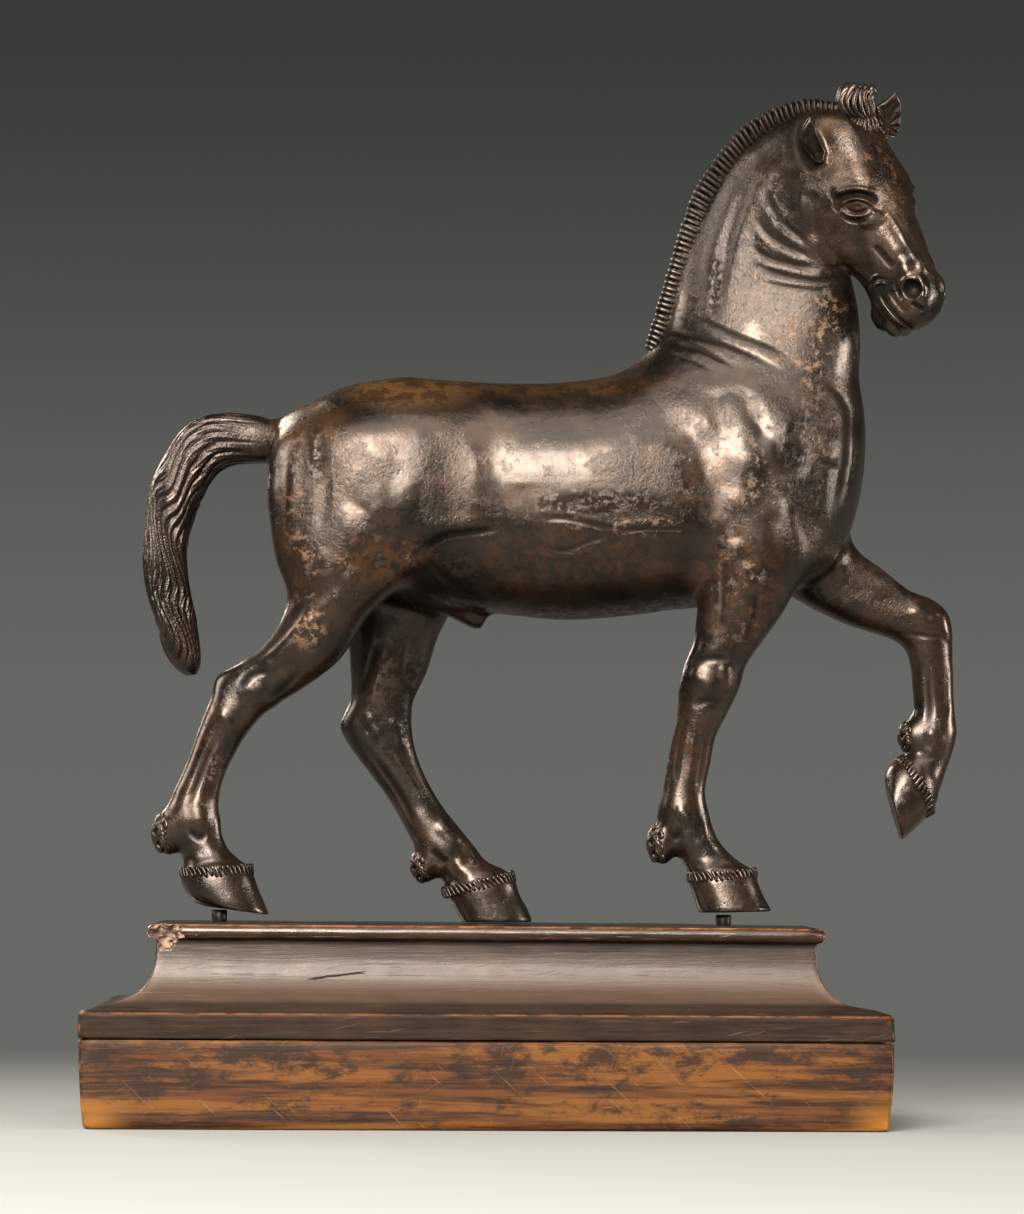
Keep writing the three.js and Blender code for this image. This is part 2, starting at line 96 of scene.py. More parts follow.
def between(rows, t):
    """Smoothly joined rows at t, where row i is met at t = i."""
    rows = np.asarray(rows, float)
    t = np.asarray(t, float)
    i = np.minimum(t.astype(int), len(rows) - 2)
    f = (t - i)[:, None]
    here, after = rows[i], rows[i + 1]
    slope_here = (after - rows[np.maximum(i - 1, 0)]) / 2
    slope_after = (rows[np.minimum(i + 2, len(rows) - 1)] - here) / 2
    bend = 3 * (after - here) - 2 * slope_here - slope_after
    twist = 2 * (here - after) + slope_here + slope_after
    return here + f * (slope_here + f * (bend + f * twist))


def rings(rows, sides, steps):
    """Rings of points round a loft, as an array of rings by sides by 3."""
    count = (len(rows) - 1) * steps
    row = between(rows, np.arange(count + 1) / steps)
    first, second = row[:, 0:3], row[:, 3:6]
    half, egg, square = row[:, 6:7], row[:, 7:8], row[:, 8:9]
    middle = (first + second) / 2
    reach = first - middle
    out = reach / np.linalg.norm(reach, axis=1, keepdims=True)
    aside = np.array([0, 1.0, 0]) - out * out[:, 1:2]
    aside /= np.linalg.norm(aside, axis=1, keepdims=True)
    angle = 2 * np.pi * np.arange(sides) / sides
    cos, sin = np.cos(angle)[None, :], np.sin(angle)[None, :]
    along = np.sign(cos) * np.abs(cos) ** (2 / square)
    across = np.sign(sin) * np.abs(sin) ** (2 / square) * (1 + egg * along) * half
    return middle[:, None] + along[..., None] * reach[:, None] + across[..., None] * aside[:, None]


def ring_faces(count, sides):
    """Triangles of a tube of rings closed by a fan at each end; the two fan points come last."""
    k = np.arange(sides)
    after = (k + 1) % sides
    low = (np.arange(count - 1) * sides)[:, None]
    a, b = low + k, low + after
    c, d = a + sides, b + sides
    walls = np.concatenate([np.stack([a, b, d], -1).reshape(-1, 3), np.stack([a, d, c], -1).reshape(-1, 3)])
    first, last = count * sides, count * sides + 1
    start = np.stack([np.full(sides, first), after, k], -1)
    end = (count - 1) * sides
    stop = np.stack([np.full(sides, last), end + k, end + after], -1)
    return np.concatenate([walls, start, stop])


def tube_mesh(loops):
    """Points and outward triangles of closed rings."""
    count, sides = loops.shape[:2]
    points = np.concatenate([loops.reshape(-1, 3), loops[:1].mean(1), loops[-1:].mean(1)])
    faces = ring_faces(count, sides)
    a, b, c = (points[faces[:, i]] for i in range(3))
    if np.einsum("ij,ij->", a, np.cross(b, c)) < 0:
        faces = faces[:, ::-1]
    return points, faces

# %% The horse's sections
TRUNK = sections(
    (-59.5, 193, -59.5, 176, 0, 7), (-56, 198.2, -57, 168, 0, 15), (-49, 202, -50, 158, 0, 20.5),
    (-38, 206.5, -38, 151, 0, 24.4, 0.05), (-24, 208.8, -24, 146.5, 0, 26, 0.05),
    (-9, 207.8, -9, 144, 0, 26.4, 0.02), (6, 207.1, 6, 142.3, 0, 27),
    (21, 207.4, 21, 140.9, 0, 28.2, -0.04), (36, 209.6, 37, 141.9, 0, 28.6, -0.06),
    (49, 214.5, 52, 143.7, 0, 27.4, -0.12), (62, 218, 66, 145, 0, 25.6, -0.16),
    (75, 218, 78, 147, 0, 23.8, -0.16), (87, 214, 88, 151, 0, 21, -0.12),
    (96, 208, 96, 156, 0, 16.5, -0.05), (101.5, 202, 100.6, 164, 0, 11.5), (103.6, 195, 102.6, 174, 0, 5),
)
NECK = sections(
    (43, 208, 98, 168, 0, 22, -0.2), (46.5, 215, 102.5, 178, 0, 21, -0.3),
    (50.5, 224, 104.1, 191, 0, 18.6, -0.36), (53.2, 232.5, 103.9, 204, -0.2, 15.8, -0.38),
    (56.2, 242, 104.6, 216, -0.8, 13, -0.36, 2.2, -1.5),
    (60.4, 253, 103.8, 228, -1.8, 11, -0.32, 2.2, -4),
    (65.8, 264, 101.3, 238.5, -3.4, 9.8, -0.26, 2.2, -6),
    (72.5, 272.5, 99.5, 248, -5.6, 9.2, -0.2, 2.2, -7.5), (81, 279.5, 99, 256, -8, 8.8, -0.12, 2.2, -7),
    (91, 283, 103, 262, -10.4, 8.4, 0, 2.2, -5), (99, 282, 106, 266, -12, 7.5, 0, 2.2, -3),
)
TAIL = sections(
    (-50, 197, -50, 186, 0, 5.5), (-59, 197.2, -59.5, 184, 0, 6.4), (-65.5, 198.3, -65.5, 184.6, 0, 6.4),
    (-72.5, 198.7, -71, 184.3, 0, 6.8), (-79.8, 197.5, -75, 182.4, 0, 7.1),
    (-86, 193.4, -78.2, 178.6, 0, 7.3), (-91.1, 185.6, -80.5, 174, 0, 7.4),
    (-94.2, 177, -82.4, 168.6, 0, 7.4), (-95.2, 167, -83.6, 162.5, 0, 7.3),
    (-95.9, 156, -84, 155.5, 0, 7.1), (-94.9, 147.5, -83.2, 147.5, 0, 6.9),
    (-92.3, 138.8, -81.7, 140.5, 0, 6.4), (-89.6, 131.6, -80.5, 133, 0, 5.5),
    (-86.7, 127.2, -80, 128.3, 0, 4), (-84, 125.3, -81.2, 125.6, 0, 1.6),
)
NEAR_HIND = sections(
    (-44, 198, -14, 200, -9, 10), (-57, 191, 0, 193, -12, 13.6), (-60.8, 179, 5, 180, -14.2, 14),
    (-60.4, 167, 3, 167, -15.2, 13.3, 0.06), (-58.6, 157, -12, 161, -15.6, 12, 0.08),
    (-55.6, 147.5, -24.8, 149.3, -15.8, 10.6), (-57.6, 139.8, -33.5, 140.8, -15.8, 9.2),
    (-63.4, 132.6, -41, 129.4, -15.6, 7.6), (-69.2, 128.4, -51, 121.6, -15.3, 6.3),
    (-75, 124.6, -60.8, 115.3, -15, 5.6, -0.1), (-77, 118.2, -66.2, 109.4, -14.9, 5.6),
    (-79.8, 110.8, -69.9, 103.6, -14.8, 4.9), (-83.6, 100.3, -73.1, 97, -14.8, 4.4),
    (-87.4, 91.8, -74.6, 90, -14.8, 4.7), (-89, 85, -74.2, 84.6, -14.8, 5.4),
    (-86.4, 79, -73.5, 79.5, -14.9, 5), (-84.4, 74.8, -70.6, 75.4, -15, 5.2),
    (-84.2, 71.6, -66.4, 72.2, -15, 7.2), (-84.9, 69.2, -65, 70, -15, 8, 0, 2.4),
    (-83.9, 65.6, -63.6, 66.2, -15, 8.4, 0, 2.4), (-81.2, 62.3, -61.6, 61.6, -15, 8.7, 0, 2.4),
    (-78, 61.1, -60.5, 58.7, -15, 8.4, 0, 2.4),
)
FAR_HIND = sections(
    (-40, 198, -10, 201, 9, 10), (-54, 190, 3, 193, 12, 13.6), (-57, 177, 8, 178, 14.2, 14),
    (-52, 163, 6, 164, 15.2, 13), (-44.5, 149, -6, 150, 15.3, 11), (-39.6, 137, -13, 138, 15, 9.2),
    (-38.3, 126.5, -16.8, 127, 14.6, 7.7), (-38.6, 118.5, -20.4, 119, 14.3, 6.6),
    (-41.2, 111.5, -21.2, 112.5, 14, 5.8, -0.1), (-38.2, 105, -20.2, 104.8, 14, 5.4),
    (-32.8, 98, -17.2, 97, 14, 4.9), (-27.2, 90.2, -12.7, 89, 14, 4.5), (-22.9, 82.6, -8, 83.2, 14, 4.8),
    (-19.3, 76, -3.5, 77.5, 14, 5.4), (-14.9, 70.6, -0.2, 73.4, 14, 5.1),
    (-12.1, 67.6, 4.6, 71.1, 14, 6.2), (-11.9, 64.2, 7.7, 68.6, 14, 7.9, 0, 2.4),
    (-10.2, 61.8, 9.2, 64, 14, 8.3, 0, 2.4), (-8.3, 58.6, 11.4, 60, 14, 8.7, 0, 2.4),
    (-7, 56.2, 13, 56.2, 14, 9, 0, 2.4),
)
NEAR_FORE = sections(
    (52, 202, 88, 206, -9, 9), (54, 188, 99, 192, -12.6, 11), (57.5, 173, 98.5, 175, -15.2, 10.8),
    (59.2, 161, 93, 160, -16.4, 10.4), (59.2, 150.5, 86, 149.5, -16.6, 9.4),
    (58.1, 142, 81.4, 141.6, -16.5, 8.2), (57, 134.5, 76.4, 134.6, -16.2, 7.1),
    (54.8, 128.3, 71.7, 127.8, -16, 6.7), (53, 121.8, 69.9, 121.6, -15.9, 6.5),
    (52.7, 115, 66.6, 114.4, -15.7, 5.6), (51.4, 108.5, 63.4, 108, -15.5, 4.8),
    (50, 101, 61.9, 101, -15.4, 4.4), (48.7, 93.4, 60.4, 93.4, -15.3, 4.6),
    (47.4, 86.4, 61.5, 86.4, -15.2, 5.3), (49.6, 80, 63.8, 79.7, -15.1, 5.1),
    (53.6, 74, 68.3, 74.7, -15, 5.1), (55.8, 70, 73.6, 70.8, -15, 7.2),
    (56, 67.4, 74.6, 68.4, -15, 8, 0, 2.4), (57.1, 63.8, 76.4, 64, -15, 8.5, 0, 2.4),
    (58.5, 59.3, 78.7, 59.8, -15, 9, 0, 2.4),
)
FAR_FORE = sections(
    (54, 188, 86, 204, 9, 9.5), (64, 170, 97, 188, 13, 10.8), (78, 154, 101.5, 169.5, 15, 10.4),
    (89, 146.3, 105, 161, 15.8, 9.4), (99.8, 140.9, 112.2, 155.4, 16, 8.2),
    (108.7, 137.8, 119, 150, 16, 7.2), (114.9, 135.7, 126.2, 147, 16, 6.8),
    (118.4, 132.8, 130.8, 142.4, 16, 6.5), (119.8, 128.4, 131.6, 134.4, 16, 5.7),
    (120.4, 121.5, 131.7, 122.4, 16, 4.8), (120.7, 116.3, 132.2, 115.6, 16, 4.7),
    (119.6, 110.2, 132.8, 109.2, 16, 5.4), (119.6, 104.6, 131.7, 104.2, 16, 5.2),
    (117.6, 102.6, 130, 99.4, 15.8, 5.6), (115.8, 101.6, 127.8, 92.8, 15.6, 7.2),
    (113.7, 100, 126.3, 88.4, 15.5, 8, 0, 2.4), (112.6, 97.6, 122, 83.4, 15.4, 8.5, 0, 2.4),
    (112.6, 95, 117.2, 78.9, 15.4, 8.7, 0, 2.4),
)
HEAD = sections(
    (-6, 0, -4, -14, 0, 8), (0, 3.8, 1, -19, 0, 10.4, 0.04, 2.9), (7, 4.4, 7.5, -23, 0, 11, 0.1, 3),
    (14, 4, 14, -25.6, 0, 11.8, 0.12, 3), (20, 3, 20.5, -26.6, 0, 12, 0.12, 2.8),
    (26, 1.8, 26, -26, 0, 10.4, 0.05, 2.8), (31, 1.4, 31.5, -22.4, 0, 8.4, -0.04, 2.8),
    (37, 0.8, 37, -20.4, 0, 7, -0.08, 2.8), (43, 0.3, 42.5, -20.4, 0, 6.4, -0.1, 2.6),
    (48, -0.6, 47.5, -22.2, 0, 6.5, 0, 2.4), (52.5, -2.2, 51.5, -20.8, 0, 6.3, 0.05),
    (55.5, -4.8, 54.6, -18, 0, 5, 0.05), (57.2, -7.5, 56.6, -14, 0, 2.8),
)
MANE_BAND = sections(
    (46, 217.6, 52, 213.5, 0, 1.5), (47.6, 222.8, 54, 220, 0, 1.5), (50.2, 231.4, 57, 229.5, 0, 1.5),
    (53.1, 242, 60, 240, 0, 1.5), (57.2, 254.2, 64, 251.5, 0.2, 1.5),
    (63.2, 265.6, 69.5, 261.5, -0.4, 1.5), (70.9, 275.7, 76, 269.5, -1.8, 1.5),
    (80.2, 282.6, 84, 275.5, -4.5, 1.5), (89.6, 285.4, 91.5, 278, -7.9, 1.5),
    (98, 284.8, 99, 277, -10.5, 1.5),
)
SHEATH = sections(
    (-20, 156, -20, 144, 0, 4.5), (-12, 153, -12, 142.2, 0, 4.6), (-5, 149, -4.6, 138.7, 0, 4.2),
    (1.4, 145.2, -1.6, 138.4, 0, 2.4),
)

FETLOCK_LUMPS = [
    ([-88.5, -14.8, 81.2], [3.9, 4.2, 5.9]),
    ([-17.2, 14, 71.9], [3.6, 4.2, 4.6]),
    ([48.6, -15.2, 78.4], [3.7, 4.4, 5.7]),
    ([119.9, 16, 108.3], [3.0, 3.9, 4.4]),
]
print(sum(map(len, (TRUNK, NECK, HEAD, TAIL, NEAR_HIND, FAR_HIND, NEAR_FORE, FAR_FORE))), "sections")

# %% Where the head and the horse stand
POLL = np.array([102.8, -12, 276.9])
HEAD_YAW, HEAD_PITCH, HEAD_ROLL = 26, 60.5, 13
HORSE_LEAN = 0.245
HORSE_SHIFT = np.array([0.62, 0, -0.68])


def turned(axis, degrees):
    """A turn about an axis, as rows of numbers."""
    return np.array(Matrix.Rotation(math.radians(degrees), 3, axis))


HEAD_TURN = turned("Z", -HEAD_YAW) @ turned("Y", HEAD_PITCH) @ turned("X", HEAD_ROLL)


def head_to_horse(points):
    """Points of the head's own frame (u down the face, v to the far side, w out of the forehead)."""
    return np.asarray(points, float) @ HEAD_TURN.T + POLL


print("the head's long axis points along", np.round(HEAD_TURN[:, 0], 2))

# %% [markdown]
# A field of distances
#
# The members could be joined with Boolean modifiers, but a bronze has no hard seam where a thigh leaves
# the belly. So each loft becomes a grid of signed distances, negative inside the metal, and two grids are
# joined by a smooth minimum, which fills the crease between them. A coarse grid is enough for the big
# forms.

# %% The distance grids
COARSE = 1.0
LOW = np.array([-104.0, -36.0, 50.0])
HIGH = np.array([140.0, 36.0, 298.0])
BAND = 12
grid_shape = tuple(((HIGH - LOW) / COARSE).astype(int) + 1)


def distance(points, faces):
    """Signed distance to a closed mesh on the coarse grid, right up to BAND voxels away."""
    grid = vdb.FloatGrid.createLevelSetFromPolygons(
        ((points - LOW) / COARSE).astype(np.float32),
        triangles=faces.astype(np.uint32),
        transform=vdb.createLinearTransform(1.0),
        halfWidth=float(BAND),
    )
    values = np.full(grid_shape, float(BAND), np.float32)
    grid.copyToArray(values)
    return values * COARSE


def blend(a, b, reach):
    """The union of two fields, with the crease filled over this reach in millimetres."""
    h = np.maximum(reach - np.abs(a - b), 0) / reach
    return np.minimum(a, b) - h * h * reach / 4


def loft(rows, place=None):
    """The field of a lofted member, which may be put in its place first."""
    loops = rings(rows, LOFT_SIDES, LOFT_STEPS)
    if place is not None:
        loops = place(loops)
    return distance(*tube_mesh(loops))

# %% The members joined into one horse
TAIL_STUB = [*TAIL[:2], *sections((-64, 196.2, -64, 186.2, 0, 5), (-69, 194.4, -69, 188.4, 0, 3))]
MEMBERS = [
    # the member, and how far its crease with the rest is filled
    (NECK, 9),
    (NEAR_HIND, 6),
    (FAR_HIND, 6),
    (NEAR_FORE, 6),
    (FAR_FORE, 6),
    (TAIL_STUB, 2),
    (SHEATH, 3),
    (MANE_BAND, 1.5),
]
horse_field = loft(TRUNK)
for rows, reach in MEMBERS:
    horse_field = blend(horse_field, loft(rows), reach)
horse_field = blend(horse_field, loft(HEAD, place=head_to_horse), 2)
print("one field of", horse_field.shape, "values")

# %% [markdown]
# Lumps and hollows
#
# Where a form is a plain swelling, such as the tuft behind a fetlock or the brow over an eye, an
# ellipsoid is the quickest shape. The same formula with a minus sign digs a hole, such as a nostril. The
# fields are read on a finer grid first, because a hole two millimetres wide would be lost between coarse
# values.

# %% Finer grids, lumps and surfaces
BODY_STEP = 0.42
HEAD_STEP = 0.24
HEAD_LOW = np.array([80.0, -32.0, 216.0])
HEAD_HIGH = np.array([133.0, 8.0, 294.0])


def finer(values, low, high, step):
    """Part of the coarse field read on a finer grid, one axis at a time, along a cubic curve."""
    for axis in (1, 0, 2):
        count = int(round((high[axis] - low[axis]) / step)) + 1
        at = (low[axis] - LOW[axis] + np.arange(count) * step) / COARSE
        i = np.clip(at.astype(int), 0, values.shape[axis] - 2)
        f = at - i
        shares = [
            (-1, (-f + 2 * f**2 - f**3) / 2),
            (0, (2 - 5 * f**2 + 3 * f**3) / 2),
            (1, (f + 4 * f**2 - 3 * f**3) / 2),
            (2, (-(f**2) + f**3) / 2),
        ]
        line = [1, 1, 1]
        line[axis] = -1
        total = 0
        for step_on, share in shares:
            source = np.clip(i + step_on, 0, values.shape[axis] - 1)
            total = total + np.take(values, source, axis) * share.reshape(line).astype(np.float32)
        values = total
    return values


def window(values, low, step, centre, reach):
    """The slices of a grid round a centre, and the points in them."""
    first = np.maximum(((centre - reach - low) / step).astype(int), 0)
    last = np.minimum(((centre + reach - low) / step).astype(int) + 2, values.shape)
    slices = tuple(slice(a, b) for a, b in zip(first, last))
    axes = [low[i] + np.arange(first[i], last[i]) * step for i in range(3)]
    return slices, np.stack(np.meshgrid(*axes, indexing="ij"), -1)


def ellipsoid(points, centre, size):
    """Roughly the distance to an ellipsoid with these half sizes."""
    return (np.linalg.norm((points - centre) / size, axis=-1) - 1) * np.min(size)


def surface(values, low, step):
    """The zero surface of a field, as points in millimetres and quads."""
    shell = 3 * step
    grid = vdb.FloatGrid()
    grid.background = shell
    grid.copyFromArray(np.clip(values, -shell, shell).astype(np.float32), tolerance=0.0)
    grid.transform = vdb.createLinearTransform(1.0)
    points, quads = grid.convertToQuads(0.0)
    return points * step + low, quads


def smooth_step(values, low, high):
    t = np.clip((values - low) / (high - low), 0, 1)
    return t * t * (3 - 2 * t)

# %% [markdown]
# Two meshes from one casting
#
# A mesh under 200,000 triangles can't be fine enough for an eyelid all over a horse this long. So the
# head gets a mesh of its own, on a finer grid. Both meshes are cut from the same field, they overlap
# behind the jaw, and inside the overlap each sinks a little under the other, so no seam shows.

# %% The seam behind the jaw
SEAM_X = 84.5
THROAT_Z = 238.0
BODY_LAP = 5
BODY_SINK = 0.4
HEAD_LAP = 2.5
HEAD_SINK = 0.3


def past_seam(x, z):
    """How far a place lies outside the head's mesh; negative inside it."""
    return np.maximum(SEAM_X - x, THROAT_Z - 1.6 * np.maximum(x - 100, 0) - z)


def past_on(field, low, step):
    x = (low[0] + np.arange(field.shape[0]) * step)[:, None]
    z = (low[2] + np.arange(field.shape[2]) * step)[None, :]
    return past_seam(x, z)[:, None, :]


body_field = finer(horse_field, LOW, HIGH, BODY_STEP)
body_past = past_on(body_field, LOW, BODY_STEP)
sunk_body = body_field + BODY_SINK * smooth_step(-body_past, 0, 3)
body_field = np.maximum(sunk_body, -body_past - BODY_LAP).astype(np.float32)
for centre, size in FETLOCK_LUMPS:
    slices, at = window(body_field, LOW, BODY_STEP, np.array(centre), max(size) + 4)
    body_field[slices] = blend(body_field[slices], ellipsoid(at, centre, np.array(size)), 3)
body_points, body_quads = surface(body_field, LOW, BODY_STEP)
print("body:", len(body_quads), "quads before its relief")

# %% [markdown]
# The head
#
# A horse's head shows its bones: the round brow over the eye, the long nasal bone, the flared nostril,
# the flat cheek. The loft gives the wedge, and these lumps and holes are set into its field. Both sides
# are alike, so a place is given in the head's own frame and used on the near side (v below 0) and the far
# side (v above 0).

# %% Places on the head
LENS = np.array([-16.0, -1800.0, 85.0])


def at_depth(x, z, y):
    """The point at depth y that the camera sees at (x, z) on the middle plane."""
    share = (y - LENS[1]) / -LENS[1]
    return np.array([LENS[0] + (x - LENS[0]) * share, y, LENS[2] + (z - LENS[2]) * share])


HEAD_LOOPS = head_to_horse(rings(HEAD, LOFT_SIDES, LOFT_STEPS))
head_ball = BVHTree.FromPolygons(*(part.tolist() for part in tube_mesh(HEAD_LOOPS)))


def on_head(places, lift=0.0):
    """Side-view places as (u, w) in the head's own frame, where the line of sight meets the head's loft."""
    found = []
    for x, z in places:
        ray = Vector((x, 0, z)) - Vector(LENS)
        hit = head_ball.ray_cast(Vector(LENS), ray)[0]
        if hit is None:
            hit = head_ball.find_nearest(Vector(LENS) + ray * 0.993)[0]
        local = (np.array(hit) - lift * np.array(ray.normalized()) - POLL) @ HEAD_TURN
        found.append([local[0], local[2]])
    return found


NOSTRIL_U, NOSTRIL_W = on_head([(119.1, 233.9)], 1.2)[0]
EYE_U, EYE_W = on_head([(104.2, 257.2)], 0.8)[0]
print("eye at", np.round([EYE_U, EYE_W], 1), "nostril at", np.round([NOSTRIL_U, NOSTRIL_W], 1))

HEAD_LUMPS = [
    ([16.4, 8.9, -0.9], [4.8, 3.2, 3], 3),
    ([EYE_U, 9.7, EYE_W], [4.3, 2.0, 3.1], 2),
    ([NOSTRIL_U, 4.6, NOSTRIL_W], [3.9, 2.2, 3.6], 2),
    ([17, 7.6, -15], [9.5, 4.6, 9], 5),
    ([33, 4.6, -8], [8, 2.4, 3.6], 4),
    ([53, 2.4, -18], [2.8, 2.6, 2], 1.6),
    ([49, 1.8, -21], [3, 3, 2.4], 2),
]
NOSTRIL_HOLE = [2.9, 4.2, 2.9]
NOSTRIL_ASIDE = 7.6

# %% The ears
# An ear is a leaf rolled into a cup: a tapering outer shape, less a smaller one moved towards the opening.
NEAR_EAR = {
    "base": at_depth(92.8, 269.4, -17.4),
    "tip": at_depth(90.4, 282.2, -19.2),
    "opening": np.array([0.1, -0.98, 0.12]),
    "half": [1.2, 2.5, 3.0, 2.8, 2.0, 0.5],
    "deep": [3.2, 3.2, 2.8, 2.3, 1.6, 0.5],
    "bend": [0.2, 0.1, -0.8, -1.3, -0.5, 0.3],
    "ribs": 0.0,
}
FAR_EAR = {
    "base": at_depth(112.4, 276.8, -7.6),
    "tip": at_depth(114.9, 289.2, -9.6),
    "opening": np.array([0.4, -0.91, 0.05]),
    "half": [2.2, 3.2, 3.9, 4.2, 2.5, 0.5],
    "deep": [2.5, 2.5, 2.3, 2.0, 1.5, 0.5],
    "bend": [0, 0, -0.8, -1.3, -0.4, 0],
    "ribs": 0.12,
}
EAR_STATIONS = [0, 0.2, 0.4, 0.6, 0.8, 1]
EAR_WALL = 0.7
CUP_SHIFT = 1.9


def leaf(points, ear, wall, shift):
    """Roughly the distance to an ear's outer shape, drawn in by a wall and moved towards its opening."""
    axis = ear["tip"] - ear["base"]
    length = np.linalg.norm(axis)
    axis = axis / length
    opening = ear["opening"] - (ear["opening"] @ axis) * axis
    opening /= np.linalg.norm(opening)
    across = np.cross(axis, opening)
    local = points - ear["base"] - opening * shift
    along = local @ axis / length
    sideways = local @ across - np.interp(along, EAR_STATIONS, ear["bend"])
    outwards = local @ opening
    half = np.interp(along, EAR_STATIONS, ear["half"]) - wall
    deep = np.interp(along, EAR_STATIONS, ear["deep"]) - wall * 0.6
    half, deep = np.maximum(half, 0.15), np.maximum(deep, 0.15)
    ring = np.hypot(sideways / half, outwards / deep)
    if wall > 0:
        spoke = np.sin(11 * np.arctan2(sideways, 9 * (along - 0.25)))
        ring += ear["ribs"] * spoke * smooth_step(ring, 0.3, 0.8)
    sides = (ring - 1) * np.minimum(half, deep)
    ends = (np.abs(along - 0.5) - 0.5) * length
    return np.maximum(sides, ends + wall)


def cup(points, ear):
    """The hole of an ear."""
    return leaf(points, ear, EAR_WALL, CUP_SHIFT)


def add_ear(field, low, step, ear):
    centre = (ear["base"] + ear["tip"]) / 2
    slices, at = window(field, low, step, centre, 10)
    shape = blend(field[slices], leaf(at, ear, 0, 0), 1.6)
    field[slices] = -blend(-shape, cup(at, ear), 0.5)


def nostril(points, side):
    """The hole of a nostril, near side -1 and far side 1."""
    centre = np.array([NOSTRIL_U, side * NOSTRIL_ASIDE, NOSTRIL_W])
    return ellipsoid((points - POLL) @ HEAD_TURN, centre, np.array(NOSTRIL_HOLE))

# %% The head's field and mesh
head_field = finer(horse_field, HEAD_LOW, HEAD_HIGH, HEAD_STEP)
head_past = past_on(head_field, HEAD_LOW, HEAD_STEP)
for side in (-1, 1):
    for (u, v, w), size, reach in HEAD_LUMPS:
        centre = head_to_horse([u, side * v, w])
        slices, at = window(head_field, HEAD_LOW, HEAD_STEP, centre, max(size) + reach)
        local = (at - POLL) @ HEAD_TURN
        lump = ellipsoid(local, np.array([u, side * v, w]), np.array(size))
        head_field[slices] = blend(head_field[slices], lump, reach)
    centre = head_to_horse([NOSTRIL_U, side * NOSTRIL_ASIDE, NOSTRIL_W])
    slices, at = window(head_field, HEAD_LOW, HEAD_STEP, centre, 6)
    head_field[slices] = -blend(-head_field[slices], nostril(at, side), 0.9)
add_ear(head_field, HEAD_LOW, HEAD_STEP, NEAR_EAR)
add_ear(head_field, HEAD_LOW, HEAD_STEP, FAR_EAR)
sunk_head = head_field + HEAD_SINK * smooth_step(head_past, 0, HEAD_LAP)
head_field = np.maximum(sunk_head, head_past - HEAD_LAP)
head_points, head_quads = surface(head_field, HEAD_LOW, HEAD_STEP)
print("head:", len(head_quads), "quads before its relief")

# %% [markdown]
# The relief
#
# Over the big forms lie muscles, tendons, skin folds and veins, a millimetre high or less. A sculpting
# brush would do them by hand. Here each brush stroke is a mark: its height (or depth, below zero), its
# half-width, and the places it passes in the side view. Every point of a mesh is pushed along its normal
# by the marks.

# %% Marks
def seen(points, mirrored):
    """Side-view places (x, z) on the middle plane where the camera sees these points."""
    y = -np.abs(points[:, 1]) if mirrored else points[:, 1]
    share = -LENS[1] / (y - LENS[1])
    return LENS[[0, 2]] + (points[:, [0, 2]] - LENS[[0, 2]]) * share[:, None]


def swelling(places, marks, share=1.0):
    """How high the marks raise each place; a stroke fades towards both its ends."""
    height = np.zeros(len(places))
    for amount, width, *path in marks:
        path = np.array(path if len(path) > 1 else path * 2, float)
        if len(path) > 2:
            path = between(path, np.linspace(0, len(path) - 1, 4 * len(path) - 3))
        inside = ((places > path.min(0) - width) & (places < path.max(0) + width)).all(1)
        found = np.flatnonzero(inside)
        here = places[found]
        nearest = np.full(len(found), float(width * width))
        along = np.full(len(found), 0.5)
        for number, (start, end) in enumerate(zip(path[:-1], path[1:])):
            run = end - start
            part = np.clip((here - start) @ run / max(run @ run, 1e-9), 0, 1)
            gap = ((here - start - part[:, None] * run) ** 2).sum(1)
            closer = gap < nearest
            nearest[closer] = gap[closer]
            along[closer] = (number + part[closer]) / (len(path) - 1)
        fade = 1.0
        if len(path) > 2:
            fade = 0.1 + 0.9 * smooth_step(0.5 - np.abs(along - 0.5), 0, 0.3)
        height[found] += share * amount * fade * (1 - nearest / width**2) ** 2
    return height


def lumps(points, size, seed):
    """Soft random unevenness between -1 and 1, its lumps about this many millimetres across."""
    lattice = np.random.default_rng(seed).uniform(-1, 1, (64, 64, 64))
    at = points / size + 300.0
    first = np.floor(at).astype(int)
    f = at - first
    f = f * f * (3 - 2 * f)
    total = np.zeros(len(points))
    for corner in range(8):
        step = np.array([corner & 1, corner >> 1 & 1, corner >> 2 & 1])
        weight = np.prod(np.where(step, f, 1 - f), axis=1)
        i, j, k = ((first + step) % 64).T
        total += weight * lattice[i, j, k]
    return total

